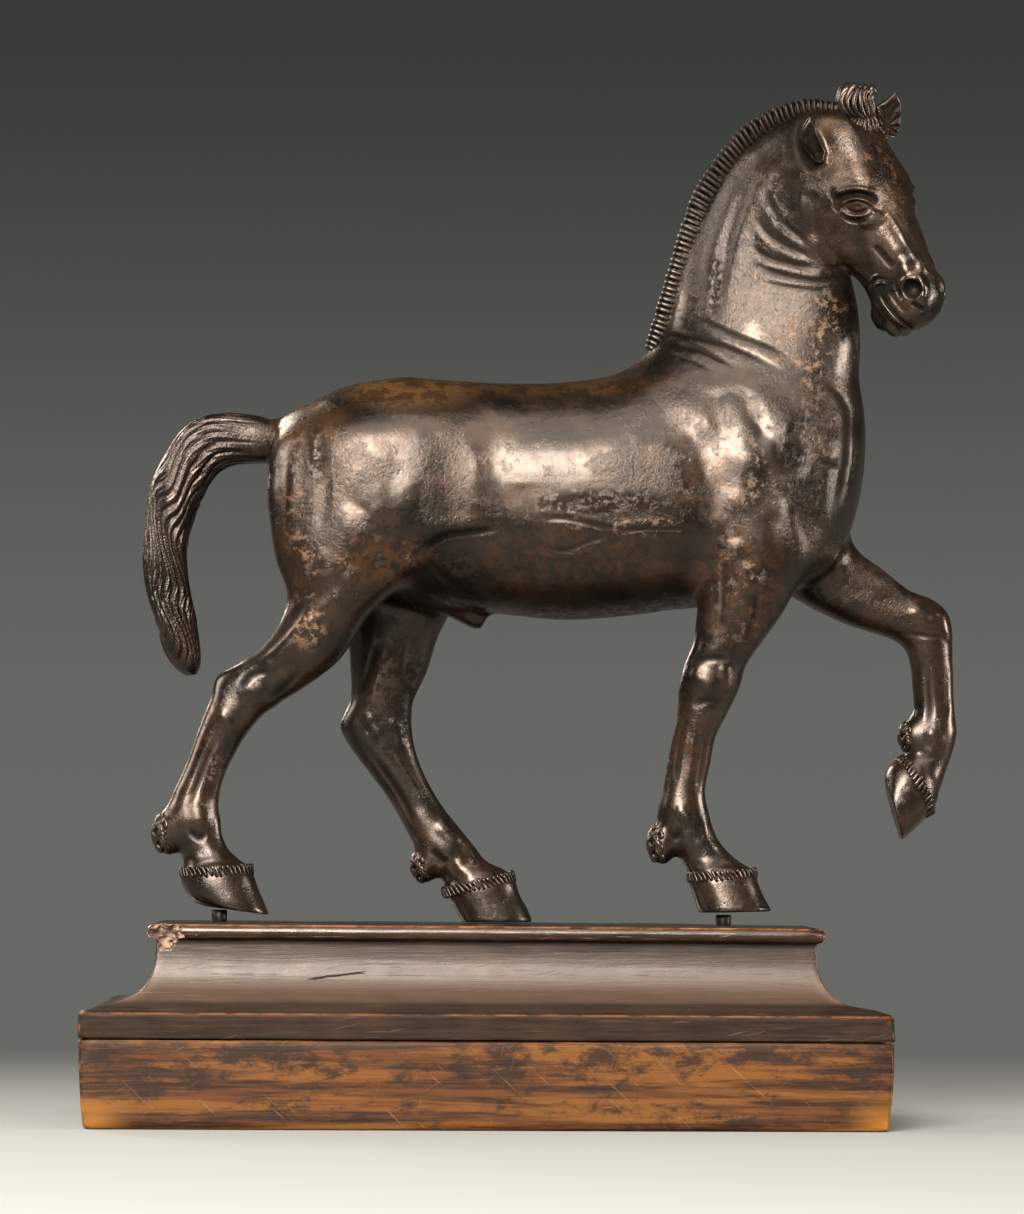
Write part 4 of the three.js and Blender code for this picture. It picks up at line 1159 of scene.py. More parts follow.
def row_tree():
    """Geometry nodes that set small rounded shapes along a path."""
    tree = bpy.data.node_groups.new("row along a path", "GeometryNodeTree")
    for name, kind, value in ROW_INPUTS:
        made = tree.interface.new_socket(name, in_out="INPUT", socket_type="NodeSocket" + kind)
        if value is not None:
            made.default_value = value
    tree.interface.new_socket("Row", in_out="OUTPUT", socket_type="NodeSocketGeometry")

    def add(kind, values, **settings):
        return put(tree, kind, values, **settings).outputs

    def named(label, kind):
        return add("GeometryNodeInputNamedAttribute", {"Name": label}, data_type=kind)["Attribute"]

    def chance_between(low, high, seed):
        return add("FunctionNodeRandomValue", {2: low, 3: high, "Seed": seed}, data_type="FLOAT")[1]

    given = add("NodeGroupInput", {})
    curve = add("GeometryNodeMeshToCurve", {"Mesh": given["Path"]})["Curve"]
    cutting = {"Curve": curve, "Length": given["Pitch"]}
    spots = add("GeometryNodeResampleCurve", cutting, mode="LENGTH")["Curve"]

    shape = add("GeometryNodeMeshCube", {"Size": (CUBE_SIZE, CUBE_SIZE, CUBE_SIZE)})["Mesh"]
    rounding = {"Mesh": shape, "Level": 2, "Edge Crease": CUBE_CREASE}
    shape = add("GeometryNodeSubdivisionSurface", rounding)["Mesh"]
    shape = add("GeometryNodeSetShadeSmooth", {"Geometry": shape})["Geometry"]

    outward = {"Vector": named("outward", "FLOAT_VECTOR")}
    turn = add("FunctionNodeAlignRotationToVector", outward, axis="Z")["Rotation"]
    along = {"Rotation": turn, "Vector": named("along", "FLOAT_VECTOR")}
    turn = add("FunctionNodeAlignRotationToVector", along, axis="X", pivot_axis="Z")["Rotation"]
    uneven = given["Unevenness"]
    tilt = chance_between(maths(tree, "MULTIPLY", uneven, -1.0), uneven, given["Seed"])
    slanted = maths(tree, "ADD", given["Slant"], tilt)
    swing = add("FunctionNodeAxisAngleToRotation", {"Axis": (0, 0, 1), "Angle": slanted})["Rotation"]
    swinging = {"Rotation": turn, "Rotate By": swing}
    turn = add("FunctionNodeRotateRotation", swinging, rotation_space="LOCAL")["Rotation"]

    second_seed = maths(tree, "ADD", given["Seed"], 7.0)
    spread = chance_between(maths(tree, "SUBTRACT", 1.0, uneven), 1.0, second_seed)
    size = maths(tree, "MULTIPLY", spread, named("tall", "FLOAT"))
    scaling = {0: given["Half size"], "Scale": size}
    scale = add("ShaderNodeVectorMath", scaling, operation="SCALE")["Vector"]

    placing = {"Points": spots, "Instance": shape, "Rotation": turn, "Scale": scale}
    row = add("GeometryNodeInstanceOnPoints", placing)["Instances"]
    row = add("GeometryNodeRealizeInstances", {"Geometry": row})["Geometry"]
    row = add("GeometryNodeSetMaterial", {"Geometry": row, "Material": given["Finish"]})["Geometry"]
    add("NodeGroupOutput", {"Row": row})
    return tree


ROW_TREE = row_tree()
bronze = bpy.data.materials.new("patinated_bronze")


def path_mesh(name, points, outward, tall, closed=False):
    """Edges through points, with the attributes that the row's tree reads."""
    mesh = bpy.data.meshes.new(name)
    count = len(points)
    edges = [(i, i + 1) for i in range(count - 1)]
    if closed:
        edges.append((count - 1, 0))
        along = np.roll(points, -1, 0) - np.roll(points, 1, 0)
    else:
        along = np.gradient(points, axis=0)
    mesh.from_pydata((points * MM).tolist(), edges, [])
    for label, values in (("outward", outward), ("along", along)):
        layer = mesh.attributes.new(label, "FLOAT_VECTOR", "POINT")
        layer.data.foreach_set("vector", values.astype(np.float32).ravel())
    layer = mesh.attributes.new("tall", "FLOAT", "POINT")
    layer.data.foreach_set("value", np.asarray(tall, np.float32))
    return mesh


def set_row(name, mesh, pitch, half_size, slant, unevenness, seed):
    """A row piece in plain mesh, made by the tree along a path."""
    piece = make_object(name, mesh)
    row = piece.modifiers.new("row", "NODES")
    row.node_group = ROW_TREE
    values = {
        "Pitch": pitch * MM,
        "Half size": [v * MM for v in half_size],
        "Slant": slant,
        "Unevenness": unevenness,
        "Seed": seed,
        "Finish": bronze,
    }
    for item in ROW_TREE.interface.items_tree:
        if item.in_out == "INPUT" and item.name in values:
            row[item.identifier] = values[item.name]
    baked(piece)
    print(name, triangles(piece.data), "triangles")
    return piece

# %% The mane's ribs
MANE_EDGES = [
    ((44.4, 217.9), (50, 214.6), 0),
    ((46.2, 224), (52.2, 221.6), 0),
    ((48.6, 232), (54.6, 230.2), 0),
    ((51, 240.6), (57, 238.6), 0),
    ((54, 250), (59.8, 247.4), 0.1),
    ((57.5, 260), (63.4, 256.6), -0.2),
    ((63, 269), (68.2, 264.6), -1),
    ((70, 277.8), (73.8, 272.6), -2.4),
    ((79.4, 284.2), (81.8, 278.6), -4.8),
    ((89.6, 287.3), (90.6, 281.8), -7.9),
    ((97.4, 286.6), (97, 281.4), -10.4),
]
MANE_POINTS = 241
MANE_HEIGHT = 6


def mane_edge(which):
    """One edge of the mane, as points on its own depth."""
    rows = [(*row[which], row[2]) for row in MANE_EDGES]
    line = between(rows, np.linspace(0, len(rows) - 1, MANE_POINTS))
    return np.array([at_depth(x, z, y) for x, z, y in line])


outer, inner = mane_edge(0), mane_edge(1)
mane_height = np.linalg.norm(outer - inner, axis=1)
mane_path = path_mesh("mane", leaned((outer + inner) / 2), outer - inner, mane_height / MANE_HEIGHT)
mane = set_row("mane", mane_path, 1.62, (0.66, 1.95, 2.75), 0.0, 0.12, 3)

# %% The coronets
# Each is a ring cut through the leg's own loft, a little outside its surface.
CORONETS = [
    # leg, its rows, the ring's place among them at mid height, and how far it drops from heel to toe
    ("near_hind", NEAR_HIND, 17.5, 0),
    ("far_hind", FAR_HIND, 15.9, 0),
    ("near_fore", NEAR_FORE, 16.3, 0),
    ("far_fore", FAR_FORE, 14.35, 1.0),
]
RING_POINTS = 96
RING_ROWS = 41


def ring_on(rows, middle, drop):
    """A ring on a leg's surface, at a row that changes from its heel side to its toe side."""
    spots = np.linspace(middle - drop - 0.05, middle + drop + 0.05, RING_ROWS)
    grid = rings(between(rows, spots), RING_POINTS, 1)
    wanted = middle - drop * np.cos(2 * np.pi * np.arange(RING_POINTS) / RING_POINTS)
    nearest = np.abs(wanted[:, None] - spots).argmin(1)
    return grid[nearest, np.arange(RING_POINTS)]


coronets = []
for number, (leg, rows, middle, drop) in enumerate(CORONETS):
    ring = ring_on(rows, middle, drop)
    outward = ring - ring.mean(0)
    outward /= np.linalg.norm(outward, axis=1, keepdims=True)
    path = path_mesh("coronet_" + leg, leaned(ring + 0.05 * outward), outward, np.ones(RING_POINTS), True)
    coronets.append(set_row("coronet_" + leg, path, 1.4, (0.52, 1.75, 0.75), 0.5, 0.25, 11 + number))

# %% [markdown]
# The plinth
#
# The plinth is a moulded block on a plain one. A cabinet maker planes the same profile along four sides
# and mitres the corners. In mesh terms that is a stack of rounded rectangles, one for each step of the
# profile. Old wood is never true: the block has sunk at its far right corner, and its edges are worn
# round.

# %% Rounded rectangles in a stack
PLINTH_LENGTH = 222
PLINTH_DEPTH = 108
BASE_TOP = 24.15
BASE_TAPER = 1.3
JOINT_GAP = 0.3
FASCIA_TOP = 30.9
FILLET_INSET = 3.3
FILLET_TOP = 33.25
NECK_INSET = 20.3
NECK_HEIGHT = 49.5
HOLLOW_SQUARENESS = 2.6
BEAD_RADIUS = 2.15
BEAD_INSET = 19.95
PLINTH_TOP = 55.2
BASE_SLOPE = -0.0013
TOP_SLOPE = -0.0029
SAG_START = 0.45
LOW_SAG = 2.7
TOP_SAG = 0.8


def out_of_true(points):
    """Points of the plinth as the old wood has moved: sloping a little, and sunk at the far right corner."""
    x, y, z = points[:, 0], points[:, 1], points[:, 2]
    share = np.clip((z - BASE_TOP) / (PLINTH_TOP - BASE_TOP), 0, 1)
    joint = np.clip(z / BASE_TOP, 0, 1)
    right = np.maximum(x / (PLINTH_LENGTH / 2) - SAG_START, 0) / (1 - SAG_START)
    back = y / PLINTH_DEPTH + 0.5
    drift = x * (joint * BASE_SLOPE + share * (TOP_SLOPE - BASE_SLOPE))
    sunk = right * back * joint * (LOW_SAG + share * (TOP_SAG - LOW_SAG))
    return np.stack([x, y, z + drift - sunk], 1)


def rounded_rectangle(inset, end_inset, corner, z, across=150, deep=74, bend=7):
    """One ring, with the same number of points whatever its size."""
    a = PLINTH_LENGTH / 2 - end_inset - corner
    b = PLINTH_DEPTH / 2 - inset - corner
    found = []
    for quarter, (sx, sy) in enumerate([(1, 1), (-1, 1), (-1, -1), (1, -1)]):
        angles = (quarter + np.linspace(0, 1, bend)) * np.pi / 2
        found.append(np.stack([sx * a + corner * np.cos(angles), sy * b + corner * np.sin(angles)], 1))
        following = [(-1, 1), (-1, -1), (1, -1), (1, 1)][quarter]
        end_angle = (quarter + 1) * np.pi / 2
        edge = corner * np.array([np.cos(end_angle), np.sin(end_angle)])
        start = np.array([sx * a, sy * b]) + edge
        end = np.array([following[0] * a, following[1] * b]) + edge
        count = across if quarter % 2 == 0 else deep
        t = np.linspace(0, 1, count + 2)[1:-1, None]
        found.append(start * (1 - t) + end * t)
    flat = np.concatenate(found)
    return np.concatenate([flat, np.full((len(flat), 1), z)], 1)


def eased(corners, reach, steps=3):
    """A profile's (inset, z) corners rounded over this reach, for worn edges."""
    corners = np.array(corners, float)
    found = [corners[0]]
    for before, here, after in zip(corners[:-2], corners[1:-1], corners[2:]):
        back, ahead = before - here, after - here
        back *= min(reach, np.linalg.norm(back) * 0.45) / np.linalg.norm(back)
        ahead *= min(reach, np.linalg.norm(ahead) * 0.45) / np.linalg.norm(ahead)
        for t in np.linspace(0, 1, steps + 1):
            found.append(here + back * (1 - t) ** 2 + ahead * t**2)
    found.append(corners[-1])
    return np.array(found)


def stack(profile, corner_at):
    """Points and faces of a closed stack of rounded rectangles."""
    loops = np.stack([rounded_rectangle(row[0], row[-1], corner_at(row[1]), row[1]) for row in profile])
    return tube_mesh(loops)

# %% Wear and dents
HOLLOW_MIDDLE = 42
WORN_CORNERS = [
    # place, reach, how far the wood is worn away there
    ((111, -54, 30.9), 5.5, 1.5),
    ((-111, -54, 30.9), 4, 0.8),
    ((111, -54, 3), 6, 1.0),
    ((-111, -54, 1), 5, 1.0),
    ((111, -54, 22), 4, 0.6),
    ((-111, -54, 22), 4, 0.5),
    ((91.2, -34.2, 54), 4, 0.8),
    ((111, 54, 30.9), 6, 1.2),
    ((-111, 54, 30.9), 6, 1.1),
]


def worn(points, normals):
    """Points of the wood after long use: dents, and edges rubbed in an uneven way."""
    push = np.zeros(len(points))
    for place, reach, amount in WORN_CORNERS:
        gap = np.linalg.norm(points - np.array(place), axis=1)
        push += amount * np.clip(1 - (gap / reach) ** 2, 0, 1) ** 2
    x, y, z = points[:, 0], points[:, 1], points[:, 2]
    edge = smooth_step(np.abs(z - HOLLOW_MIDDLE), 6, 9)
    ripple = 0.05 * np.sin(x / 6.1 + z / 2.2) * np.sin(y / 7.3 + 0.8) + 0.02 * np.sin(x / 2.3 + y / 3.1)
    push += 0.07 + edge * ripple
    return points - normals * push[:, None]


def wooden(name, points, faces):
    """A worn wooden piece, flat underneath where it meets the floor."""
    mesh = make_mesh(name, points, faces)
    points = out_of_true(worn(points, read_normals(mesh)))
    floor = points[:, 2] < 0.02
    points[floor, 2] = 0
    mesh.vertices.foreach_set("co", (points * MM).ravel())
    mesh.update()
    print(name, triangles(mesh), "triangles")
    return make_object(name, mesh)

# %% The base block
base_profile = [(1.2, 0), (0.35, 0.35), (0, 1.2)]
base_profile += [(0, z) for z in np.linspace(3, BASE_TOP - 1.2, 14)]
base_profile += [(0.15, BASE_TOP - 0.4), (0.6, BASE_TOP)]
base_rows = [(inset, z, inset + BASE_TAPER * (1 - z / BASE_TOP)) for inset, z in base_profile]
base_points, base_faces = stack(base_rows, lambda z: 1.1)
base = wooden("base_block", base_points, base_faces)

# %% The moulded block
turns = np.linspace(0, np.pi / 2, 26)
hollow = [
    (
        FILLET_INSET + (NECK_INSET - FILLET_INSET) * np.sin(t) ** (2 / HOLLOW_SQUARENESS),
        NECK_HEIGHT - (NECK_HEIGHT - FILLET_TOP) * np.cos(t) ** (2 / HOLLOW_SQUARENESS),
    )
    for t in turns
]
turns = np.linspace(-np.pi / 2, np.pi / 2, 17)
bead_middle = PLINTH_TOP - BEAD_RADIUS
bead = [(BEAD_INSET - BEAD_RADIUS * np.cos(t), bead_middle + BEAD_RADIUS * np.sin(t)) for t in turns]
bottom = BASE_TOP + JOINT_GAP
slope_top = FASCIA_TOP + 1.3
fascia = eased([(0.6, bottom), (0, bottom), (0, FASCIA_TOP + 0.3), (1.3, slope_top), (3.3, slope_top)], 0.7)
fascia = [tuple(row) for row in fascia[:-1]]
straight = [(0, z) for z in np.linspace(bottom + 0.8, FASCIA_TOP - 0.6, 6)]
below = [row for row in fascia if row[1] <= bottom + 0.75]
above = [row for row in fascia if row[1] >= FASCIA_TOP - 0.5]
top = [(inset, PLINTH_TOP) for inset in (23, 30, 38, 46, 52)]
profile = below + straight + above + hollow[1:] + [(NECK_INSET, NECK_HEIGHT + 0.9)] + bead + top
moulded_rows = [(inset, z, inset) for inset, z in profile]
moulded_points, moulded_faces = stack(moulded_rows, lambda z: 1.3 if z < 33 or z > 50 else 0.6)
moulded = wooden("moulded_block", moulded_points, moulded_faces)

# %% [markdown]
# The broken corner
#
# A bite of wood is missing under the bead at the near left corner, and bare pale wood shows in it. A
# Boolean takes it out: the tool is a rough rock with the bare wood's material, which the cut surface
# keeps.

# %% The bite
CHIP_CENTRE = (-88.6, -37, 51.6)
CHIP_SIZE = (5.6, 4.2, 4.3)
CHIP_SEED = 3.0

FINISHES = ("bare_wood", "ebonised_wood", "brown_wood", "peg_metal")
bare_wood, black_wood, brown_wood, peg_metal = (bpy.data.materials.new(name) for name in FINISHES)
moulded.data.materials.append(black_wood)
base.data.materials.append(brown_wood)


def rock(name, centre, size, seed):
    """A rough closed rock: a fine sphere pushed in and out by noise."""
    build = bmesh.new()
    bmesh.ops.create_icosphere(build, subdivisions=5, radius=1)
    for point in build.verts:
        way = point.co.normalized()
        rough = noise.fractal(way * 2.1 + Vector((seed, 0, 0)), 1.0, 2.0, 4)
        splinter = noise.noise(Vector((way.x * 2.5, way.y * 9, way.z * 9)) + Vector((0, seed, 0)))
        point.co = way * (1 + 0.3 * rough + 0.12 * splinter)
        point.co = [(centre[i] + point.co[i] * size[i]) * MM for i in range(3)]
    mesh = bpy.data.meshes.new(name)
    build.to_mesh(mesh)
    build.free()
    mesh.polygons.foreach_set("use_smooth", np.ones(len(mesh.polygons), bool))
    return make_object(name, mesh)


tool = rock("bite", CHIP_CENTRE, CHIP_SIZE, CHIP_SEED)
tool.data.materials.append(bare_wood)
bite = moulded.modifiers.new("bite", "BOOLEAN")
bite.operation = "DIFFERENCE"
bite.solver = "EXACT"
bite.material_mode = "TRANSFER"
bite.object = tool
baked(moulded)
bpy.data.objects.remove(tool)
print("moulded block with its bite:", triangles(moulded.data), "triangles")

# %% The pegs
PEG_SIDES = 48
PEG_EASE = 0.2


def turned_peg(name, node):
    """A round peg as tall as its CAD solid, with its rims eased."""
    low, high = (np.array(corner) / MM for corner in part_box(node))
    middle = (low + high) / 2
    radius = (high[0] - low[0]) / 2
    angle = 2 * np.pi * np.arange(PEG_SIDES) / PEG_SIDES
    straight = [(1, low[2] + PEG_EASE), (1, middle[2]), (1, high[2] - PEG_EASE)]
    loops = []
    for share, z in ((0.9, low[2]), *straight, (0.9, high[2])):
        ring = [middle[0] + share * radius * np.cos(angle), middle[1] + share * radius * np.sin(angle)]
        loops.append(np.stack([*ring, np.full(PEG_SIDES, z)], 1))
    points, faces = tube_mesh(np.array(loops))
    piece = make_object(name, make_mesh(name, points, faces))
    piece.data.materials.append(peg_metal)
    print(name, "radius", round(radius, 2), "mm")
    return piece


hind_peg = turned_peg("hind_peg_turned", "hind_peg")
fore_peg = turned_peg("fore_peg_turned", "fore_peg")

# %% [markdown]
# Where the finish changes
#
# The bronze isn't one colour. Wax and handling left it golden on the croup, red-brown on the thigh, and
# freckled with tan where the lacquer has flaked. Hollows are dark and matt with patina, ridges are rubbed
# bright. Painted shade darkens creases, ear cups, nostrils, the gaps between locks of hair and some patches,
# and painted sheen lightens a few patches of the face and the raised forearm. An image could hold this, but
# point attributes keep it in the mesh: the script works out a value at each point, and the material's
# nodes read it by name.

# %% Measures that the finishes read
def write_value(mesh, name, values):
    """One number at each point of a mesh, kept under this name."""
    layer = mesh.attributes.new(name, "FLOAT", "POINT")
    layer.data.foreach_set("value", np.asarray(values, np.float32))


def cavity(mesh, rounds):
    """How hollow the surface is at each point, above 0 in a groove and below 0 on a ridge, smoothed."""
    points, normals = read_points(mesh), read_normals(mesh)
    pairs = np.empty(len(mesh.edges) * 2, np.int32)
    mesh.edges.foreach_get("vertices", pairs)
    a, b = pairs.reshape(-1, 2).T
    count = np.bincount(a, minlength=len(points)) + np.bincount(b, minlength=len(points))
    count = np.maximum(count, 1)

    def average(values):
        total = np.bincount(a, values[b], len(points)) + np.bincount(b, values[a], len(points))
        return total / count

    middle = np.stack([average(points[:, i]) for i in range(3)], 1)
    size = average(np.linalg.norm(middle - points, axis=1)) + 0.05
    hollow = np.einsum("ij,ij->i", middle - points, normals) / size
    for _ in range(rounds):
        hollow = 0.5 * hollow + 0.5 * average(hollow)
    return hollow


def patches(places, spots):
    """Soft oval patches: centre, half sizes and strength, the strongest winning."""
    strength = np.zeros(len(places))
    for x, z, half_x, half_z, most in spots:
        gap = np.hypot((places[:, 0] - x) / half_x, (places[:, 1] - z) / half_z)
        strength = np.maximum(strength, most * (1 - smooth_step(gap, 0.45, 1.25)))
    return strength

# %% Patches of the bronze's finish, of painted shade and of painted sheen
# Each is a place in the side view, half its width and half its height in millimetres, and its strength.
GOLDEN = [(97, 279, 5, 3.5, 0.35), (-22, 206, 20, 6, 0.75), (16, 207, 34, 4, 0.3), (-50, 196, 12, 8, 0.3)]
AMBER = [
    (-30, 158, 18, 8, 0.9),
    (-56, 148, 12, 16, 0.5),
    (70, 152, 14, 22, 0.6),
    (-56, 168, 5, 16, 0.5),
    (110, 262, 9, 14, 0.7),
    (62, 178, 10, 10, 0.4),
    (-80, 108, 6, 18, 0.7),
    (20, 158, 36, 10, 0.4),
    (56, 104, 5, 20, 0.5),
    (98, 248, 9, 10, 0.4),
]
FLAKED = [
    (92, 220, 13, 17, 1.0),
    (76, 244, 4, 18, 0.6),
    (73, 182, 10, 12, 0.7),
    (90, 196, 9, 12, 0.6),
    (-50, 176, 8, 22, 0.7),
    (-40, 160, 14, 8, 0.5),
    (-50, 141, 6, 9, 1.0),
    (-50, 160, 5, 8, 0.9),
    (-22, 160, 4, 5, 0.7),
    (40, 172, 26, 8, 0.9),
    (110, 266, 8, 10, 0.6),
    (70, 150, 10, 18, 0.6),
    (112, 146, 16, 6, 0.4),
    (-78, 96, 5, 10, 0.5),
]
# Dark patina in some of these patches, and painted shade in others: under the jaw, below the ears, behind the
# cheek, at the mouth's corner, in the neck's valley, under the belly and over the far hind leg and hoof.
SOOT_AND_SHADE = [
    (96.6, 238.9, 5, 4, 0.9),
    (93.2, 267, 4, 5, 0.8),
    (83, 257, 6, 14, 0.75),
    (64, 236, 3, 13, 0.8),
    (93, 250, 9, 9, 0.5),
    (108.6, 231.4, 3, 3, 0.6),
    (84, 187, 7, 6, 0.9),
    (91, 270, 3.5, 3.5, 0.9),
    (78, 169, 6, 6, 0.6),
    (-10, 152, 14, 9, 0.7),
    (-47.9, 188, 4, 12, 0.8),
    (-43, 167, 4, 9, 0.4),
    (40, 143, 40, 9, 0.5),
    (34, 173.5, 28, 5, 0.85),
    (-26, 118, 13, 26, 0.75),
    (2, 61, 12, 7, 0.6),
]
# Painted sheen: patches of lighter metal on the forehead, face, cheek, muzzle and raised forearm.
PAINTED_SHEEN = [
    (99, 267, 9, 8, 0.5),
    (112, 250, 7, 13, 0.55),
    (118, 230, 7, 5, 0.35),
    (97, 247, 8, 6, 0.25),
    (104, 153, 16, 8, 0.35),
]
SHADED = [
    (89.4, 272, 2.4, 4.4, 0.95),
    (91.6, 268.6, 3, 2.4, 0.95),
    (88, 276, 1.8, 6, 0.95),
    (104, 257, 5, 2.2, 0.6),
    (89.6, 253, 2.6, 8, 0.7),
]
GRAINY = [
    (70, 246, 20, 26, 1.0),
    (88, 228, 16, 20, 0.9),
    (92, 180, 12, 34, 0.9),
    (64, 200, 22, 8, 0.7),
    (42, 180, 14, 14, 1.0),
    (-12, 178, 8, 22, 1.0),
    (-46, 180, 8, 20, 1.0),
    (-36, 182, 10, 8, 0.7),
    (104, 256, 14, 18, 0.8),
    (103, 272, 9, 9, 1.0),
    (-84, 170, 16, 40, 0.6),
    (-70, 192, 14, 6, 0.7),
    (110, 150, 14, 10, 0.6),
]
print(sum(map(len, (GOLDEN, AMBER, FLAKED, SOOT_AND_SHADE, PAINTED_SHEEN, SHADED, GRAINY))), "patches")

# %% Attributes on the bronze
# Strengths of painted shade: in the ear cups and nostrils, in the creases of the marks, between locks of
# hair, and on the mane towards the poll.
HOLE_DARKNESS = 0.7
CREASE_DARKNESS = 3.2
HAIR_DARKNESS = 1.7
HAIR_REACH = 1.6
POLL_DARKNESS = 0.6
hair_pieces = [forelock, fetlocks, mane, *coronets]


def dress(piece, rubbed):
    """Gives a piece the bronze material and the attributes it reads, its ridges rubbed this much."""
    mesh = piece.data
    points = level(read_points(mesh))
    places = seen(points, False)
    hollow = cavity(mesh, 3)
    for label, spots in (("amber", AMBER), ("flaked", FLAKED), ("grainy", GRAINY), ("soot_and_shade", SOOT_AND_SHADE)):
        write_value(mesh, label, patches(places, spots))
    write_value(mesh, "hollow", np.clip(hollow, 0, 1))
    # The ridge value holds rubbed ridges and the painted sheen patches.
    write_value(mesh, "ridge", np.maximum(rubbed * np.clip(-hollow, 0, 1), patches(places, PAINTED_SHEEN)))
    top = smooth_step(read_normals(mesh)[:, 2], -0.1, 0.6)
    write_value(mesh, "golden", patches(places, GOLDEN) * top)
    # Painted shade: the ear cups and nostrils, the narrow creases, the gaps between locks, the mane near the
    # poll and the SHADED patches.
    hole = np.minimum(cup(points, NEAR_EAR), cup(points, FAR_EAR))
    hole = np.minimum(hole, np.minimum(nostril(points, -1), nostril(points, 1)))
    holes = HOLE_DARKNESS * (1 - smooth_step(hole, 0.0, 0.5))
    painted_shade = np.clip(-CREASE_DARKNESS * strokes(points, read_normals(mesh), creases) - 0.2, 0, 0.85)
    if piece in hair_pieces:
        painted_shade = np.minimum(HAIR_DARKNESS * sheltered(mesh, HAIR_REACH), 0.95)
    if piece is mane:
        painted_shade = np.maximum(painted_shade, POLL_DARKNESS * smooth_step(places[:, 1], 245, 270))
    painted_shade = np.maximum(painted_shade, patches(places, SHADED))
    write_value(mesh, "painted_shade", np.maximum(holes, painted_shade))
    mesh.materials.clear()
    mesh.materials.append(bronze)
    return float(hollow.max())


bronze_pieces = [body, head, tail, *hair_pieces]
for piece in bronze_pieces:
    share = 1.0 if piece in (body, head) else 0.35
    print(piece.name, "deepest hollow", round(dress(piece, share), 2))

# %% [markdown]
# The bronze
#
# Old lacquered bronze is a dark brown film over metal. It is part metal and part dull film, so the shader
# sits between the two, with a thin clear coat for the wax. The light breaks up at the edge of each
# highlight because the casting skin is full of tiny pits; those are bump, since they are far smaller than
# a triangle.

# %% Helpers for materials
def start(material):
    """An empty node tree with one shader and its output."""
    material.use_nodes = True
    tree = material.node_tree
    tree.nodes.clear()
    shader = put(tree, "ShaderNodeBsdfPrincipled", {})
    put(tree, "ShaderNodeOutputMaterial", {0: shader.outputs[0]})
    return tree, shader


def object_place(tree, scale=(1, 1, 1)):
    """Places on a piece in metres, which may be scaled to stretch a pattern."""
    here = put(tree, "ShaderNodeTexCoord", {})
    return put(tree, "ShaderNodeMapping", {"Vector": here.outputs["Object"], "Scale": scale}).outputs[0]


def clouds(tree, place, size_mm, detail=3.0, rough=0.55, bend=0.0):
    """Noise whose blobs are about this many millimetres across."""
    values = {"Vector": place, "Scale": 1 / (size_mm * MM), "Detail": detail}
    return put(tree, "ShaderNodeTexNoise", {**values, "Roughness": rough, "Distortion": bend}).outputs[0]


def cells(tree, place, size_mm):
    """The distance to the middle of the nearest of many cells about this many millimetres across."""
    values = {"Vector": place, "Scale": 1 / (size_mm * MM)}
    return put(tree, "ShaderNodeTexVoronoi", values).outputs["Distance"]


def step_up(tree, value, low, high, to_low=0.0, to_high=1.0):
    """A value from low to high made to run from to_low to to_high, and held at the ends."""
    values = {"Value": value, "From Min": low, "From Max": high, "To Min": to_low, "To Max": to_high}
    return put(tree, "ShaderNodeMapRange", values, interpolation_type="SMOOTHSTEP").outputs[0]


def tint(tree, share, first, second):
    """The first colour with a share of the second over it."""
    return put(tree, "ShaderNodeMix", {0: share, 6: first, 7: second}, data_type="RGBA").outputs[2]


def attribute(tree, name):
    return put(tree, "ShaderNodeAttribute", {}, attribute_name=name).outputs["Fac"]


def bumped(tree, height, depth_mm, strength=1.0, under=None):
    """The normal with a pattern's height pressed into it, over any bump already under it."""
    values = {"Height": height, "Distance": depth_mm * MM, "Strength": strength}
    if under is not None:
        values["Normal"] = under
    return put(tree, "ShaderNodeBump", values).outputs[0]

# %% The bronze's nodes
BLACK_FILM = (0.004, 0.0027, 0.002, 1)
BROWN_FILM = (0.0165, 0.0098, 0.006, 1)
AMBER_FILM = (0.036, 0.0138, 0.0042, 1)
GOLD_FILM = (0.095, 0.047, 0.0155, 1)
BARE_TAN = (0.18, 0.112, 0.065, 1)
# The dark of grime and of painted shade.
GRIME_AND_SHADE = (0.004, 0.0028, 0.0021, 1)
# The light of rubbed metal and of painted sheen.
RUBBED_AND_SHEEN = (0.07, 0.05, 0.036, 1)

tree, shader = start(bronze)
place = object_place(tree)
broad = clouds(tree, place, 16, 3, 0.55)
medium = clouds(tree, place, 3.6, 5, 0.65)
islands = clouds(tree, place, 6, 7, 0.7)
flakes = clouds(tree, place, 2.3, 9, 0.8)
herds = step_up(tree, clouds(tree, place, 7, 3, 0.6), 0.46, 0.58)
fine = clouds(tree, place, 1.0, 4, 0.7)
grain = clouds(tree, place, 0.5, 2, 0.6)
pit = step_up(tree, cells(tree, place, 1.5), 0.08, 0.26)
zone = maths(tree, "ADD", attribute(tree, "grainy"), step_up(tree, islands, 0.36, 0.62, -0.4, 0.5))
zone = step_up(tree, zone, 0.1, 0.75)

colour = tint(tree, step_up(tree, broad, 0.38, 0.62), BROWN_FILM, BLACK_FILM)
amber = maths(tree, "MULTIPLY", attribute(tree, "amber"), step_up(tree, medium, 0.42, 0.58))
colour = tint(tree, amber, colour, AMBER_FILM)
gold = maths(tree, "MULTIPLY", attribute(tree, "golden"), step_up(tree, medium, 0.25, 0.6, 0.4, 1))
colour = tint(tree, gold, colour, GOLD_FILM)
colour = tint(tree, step_up(tree, islands, 0.51, 0.54, 0, 0.55), colour, BLACK_FILM)
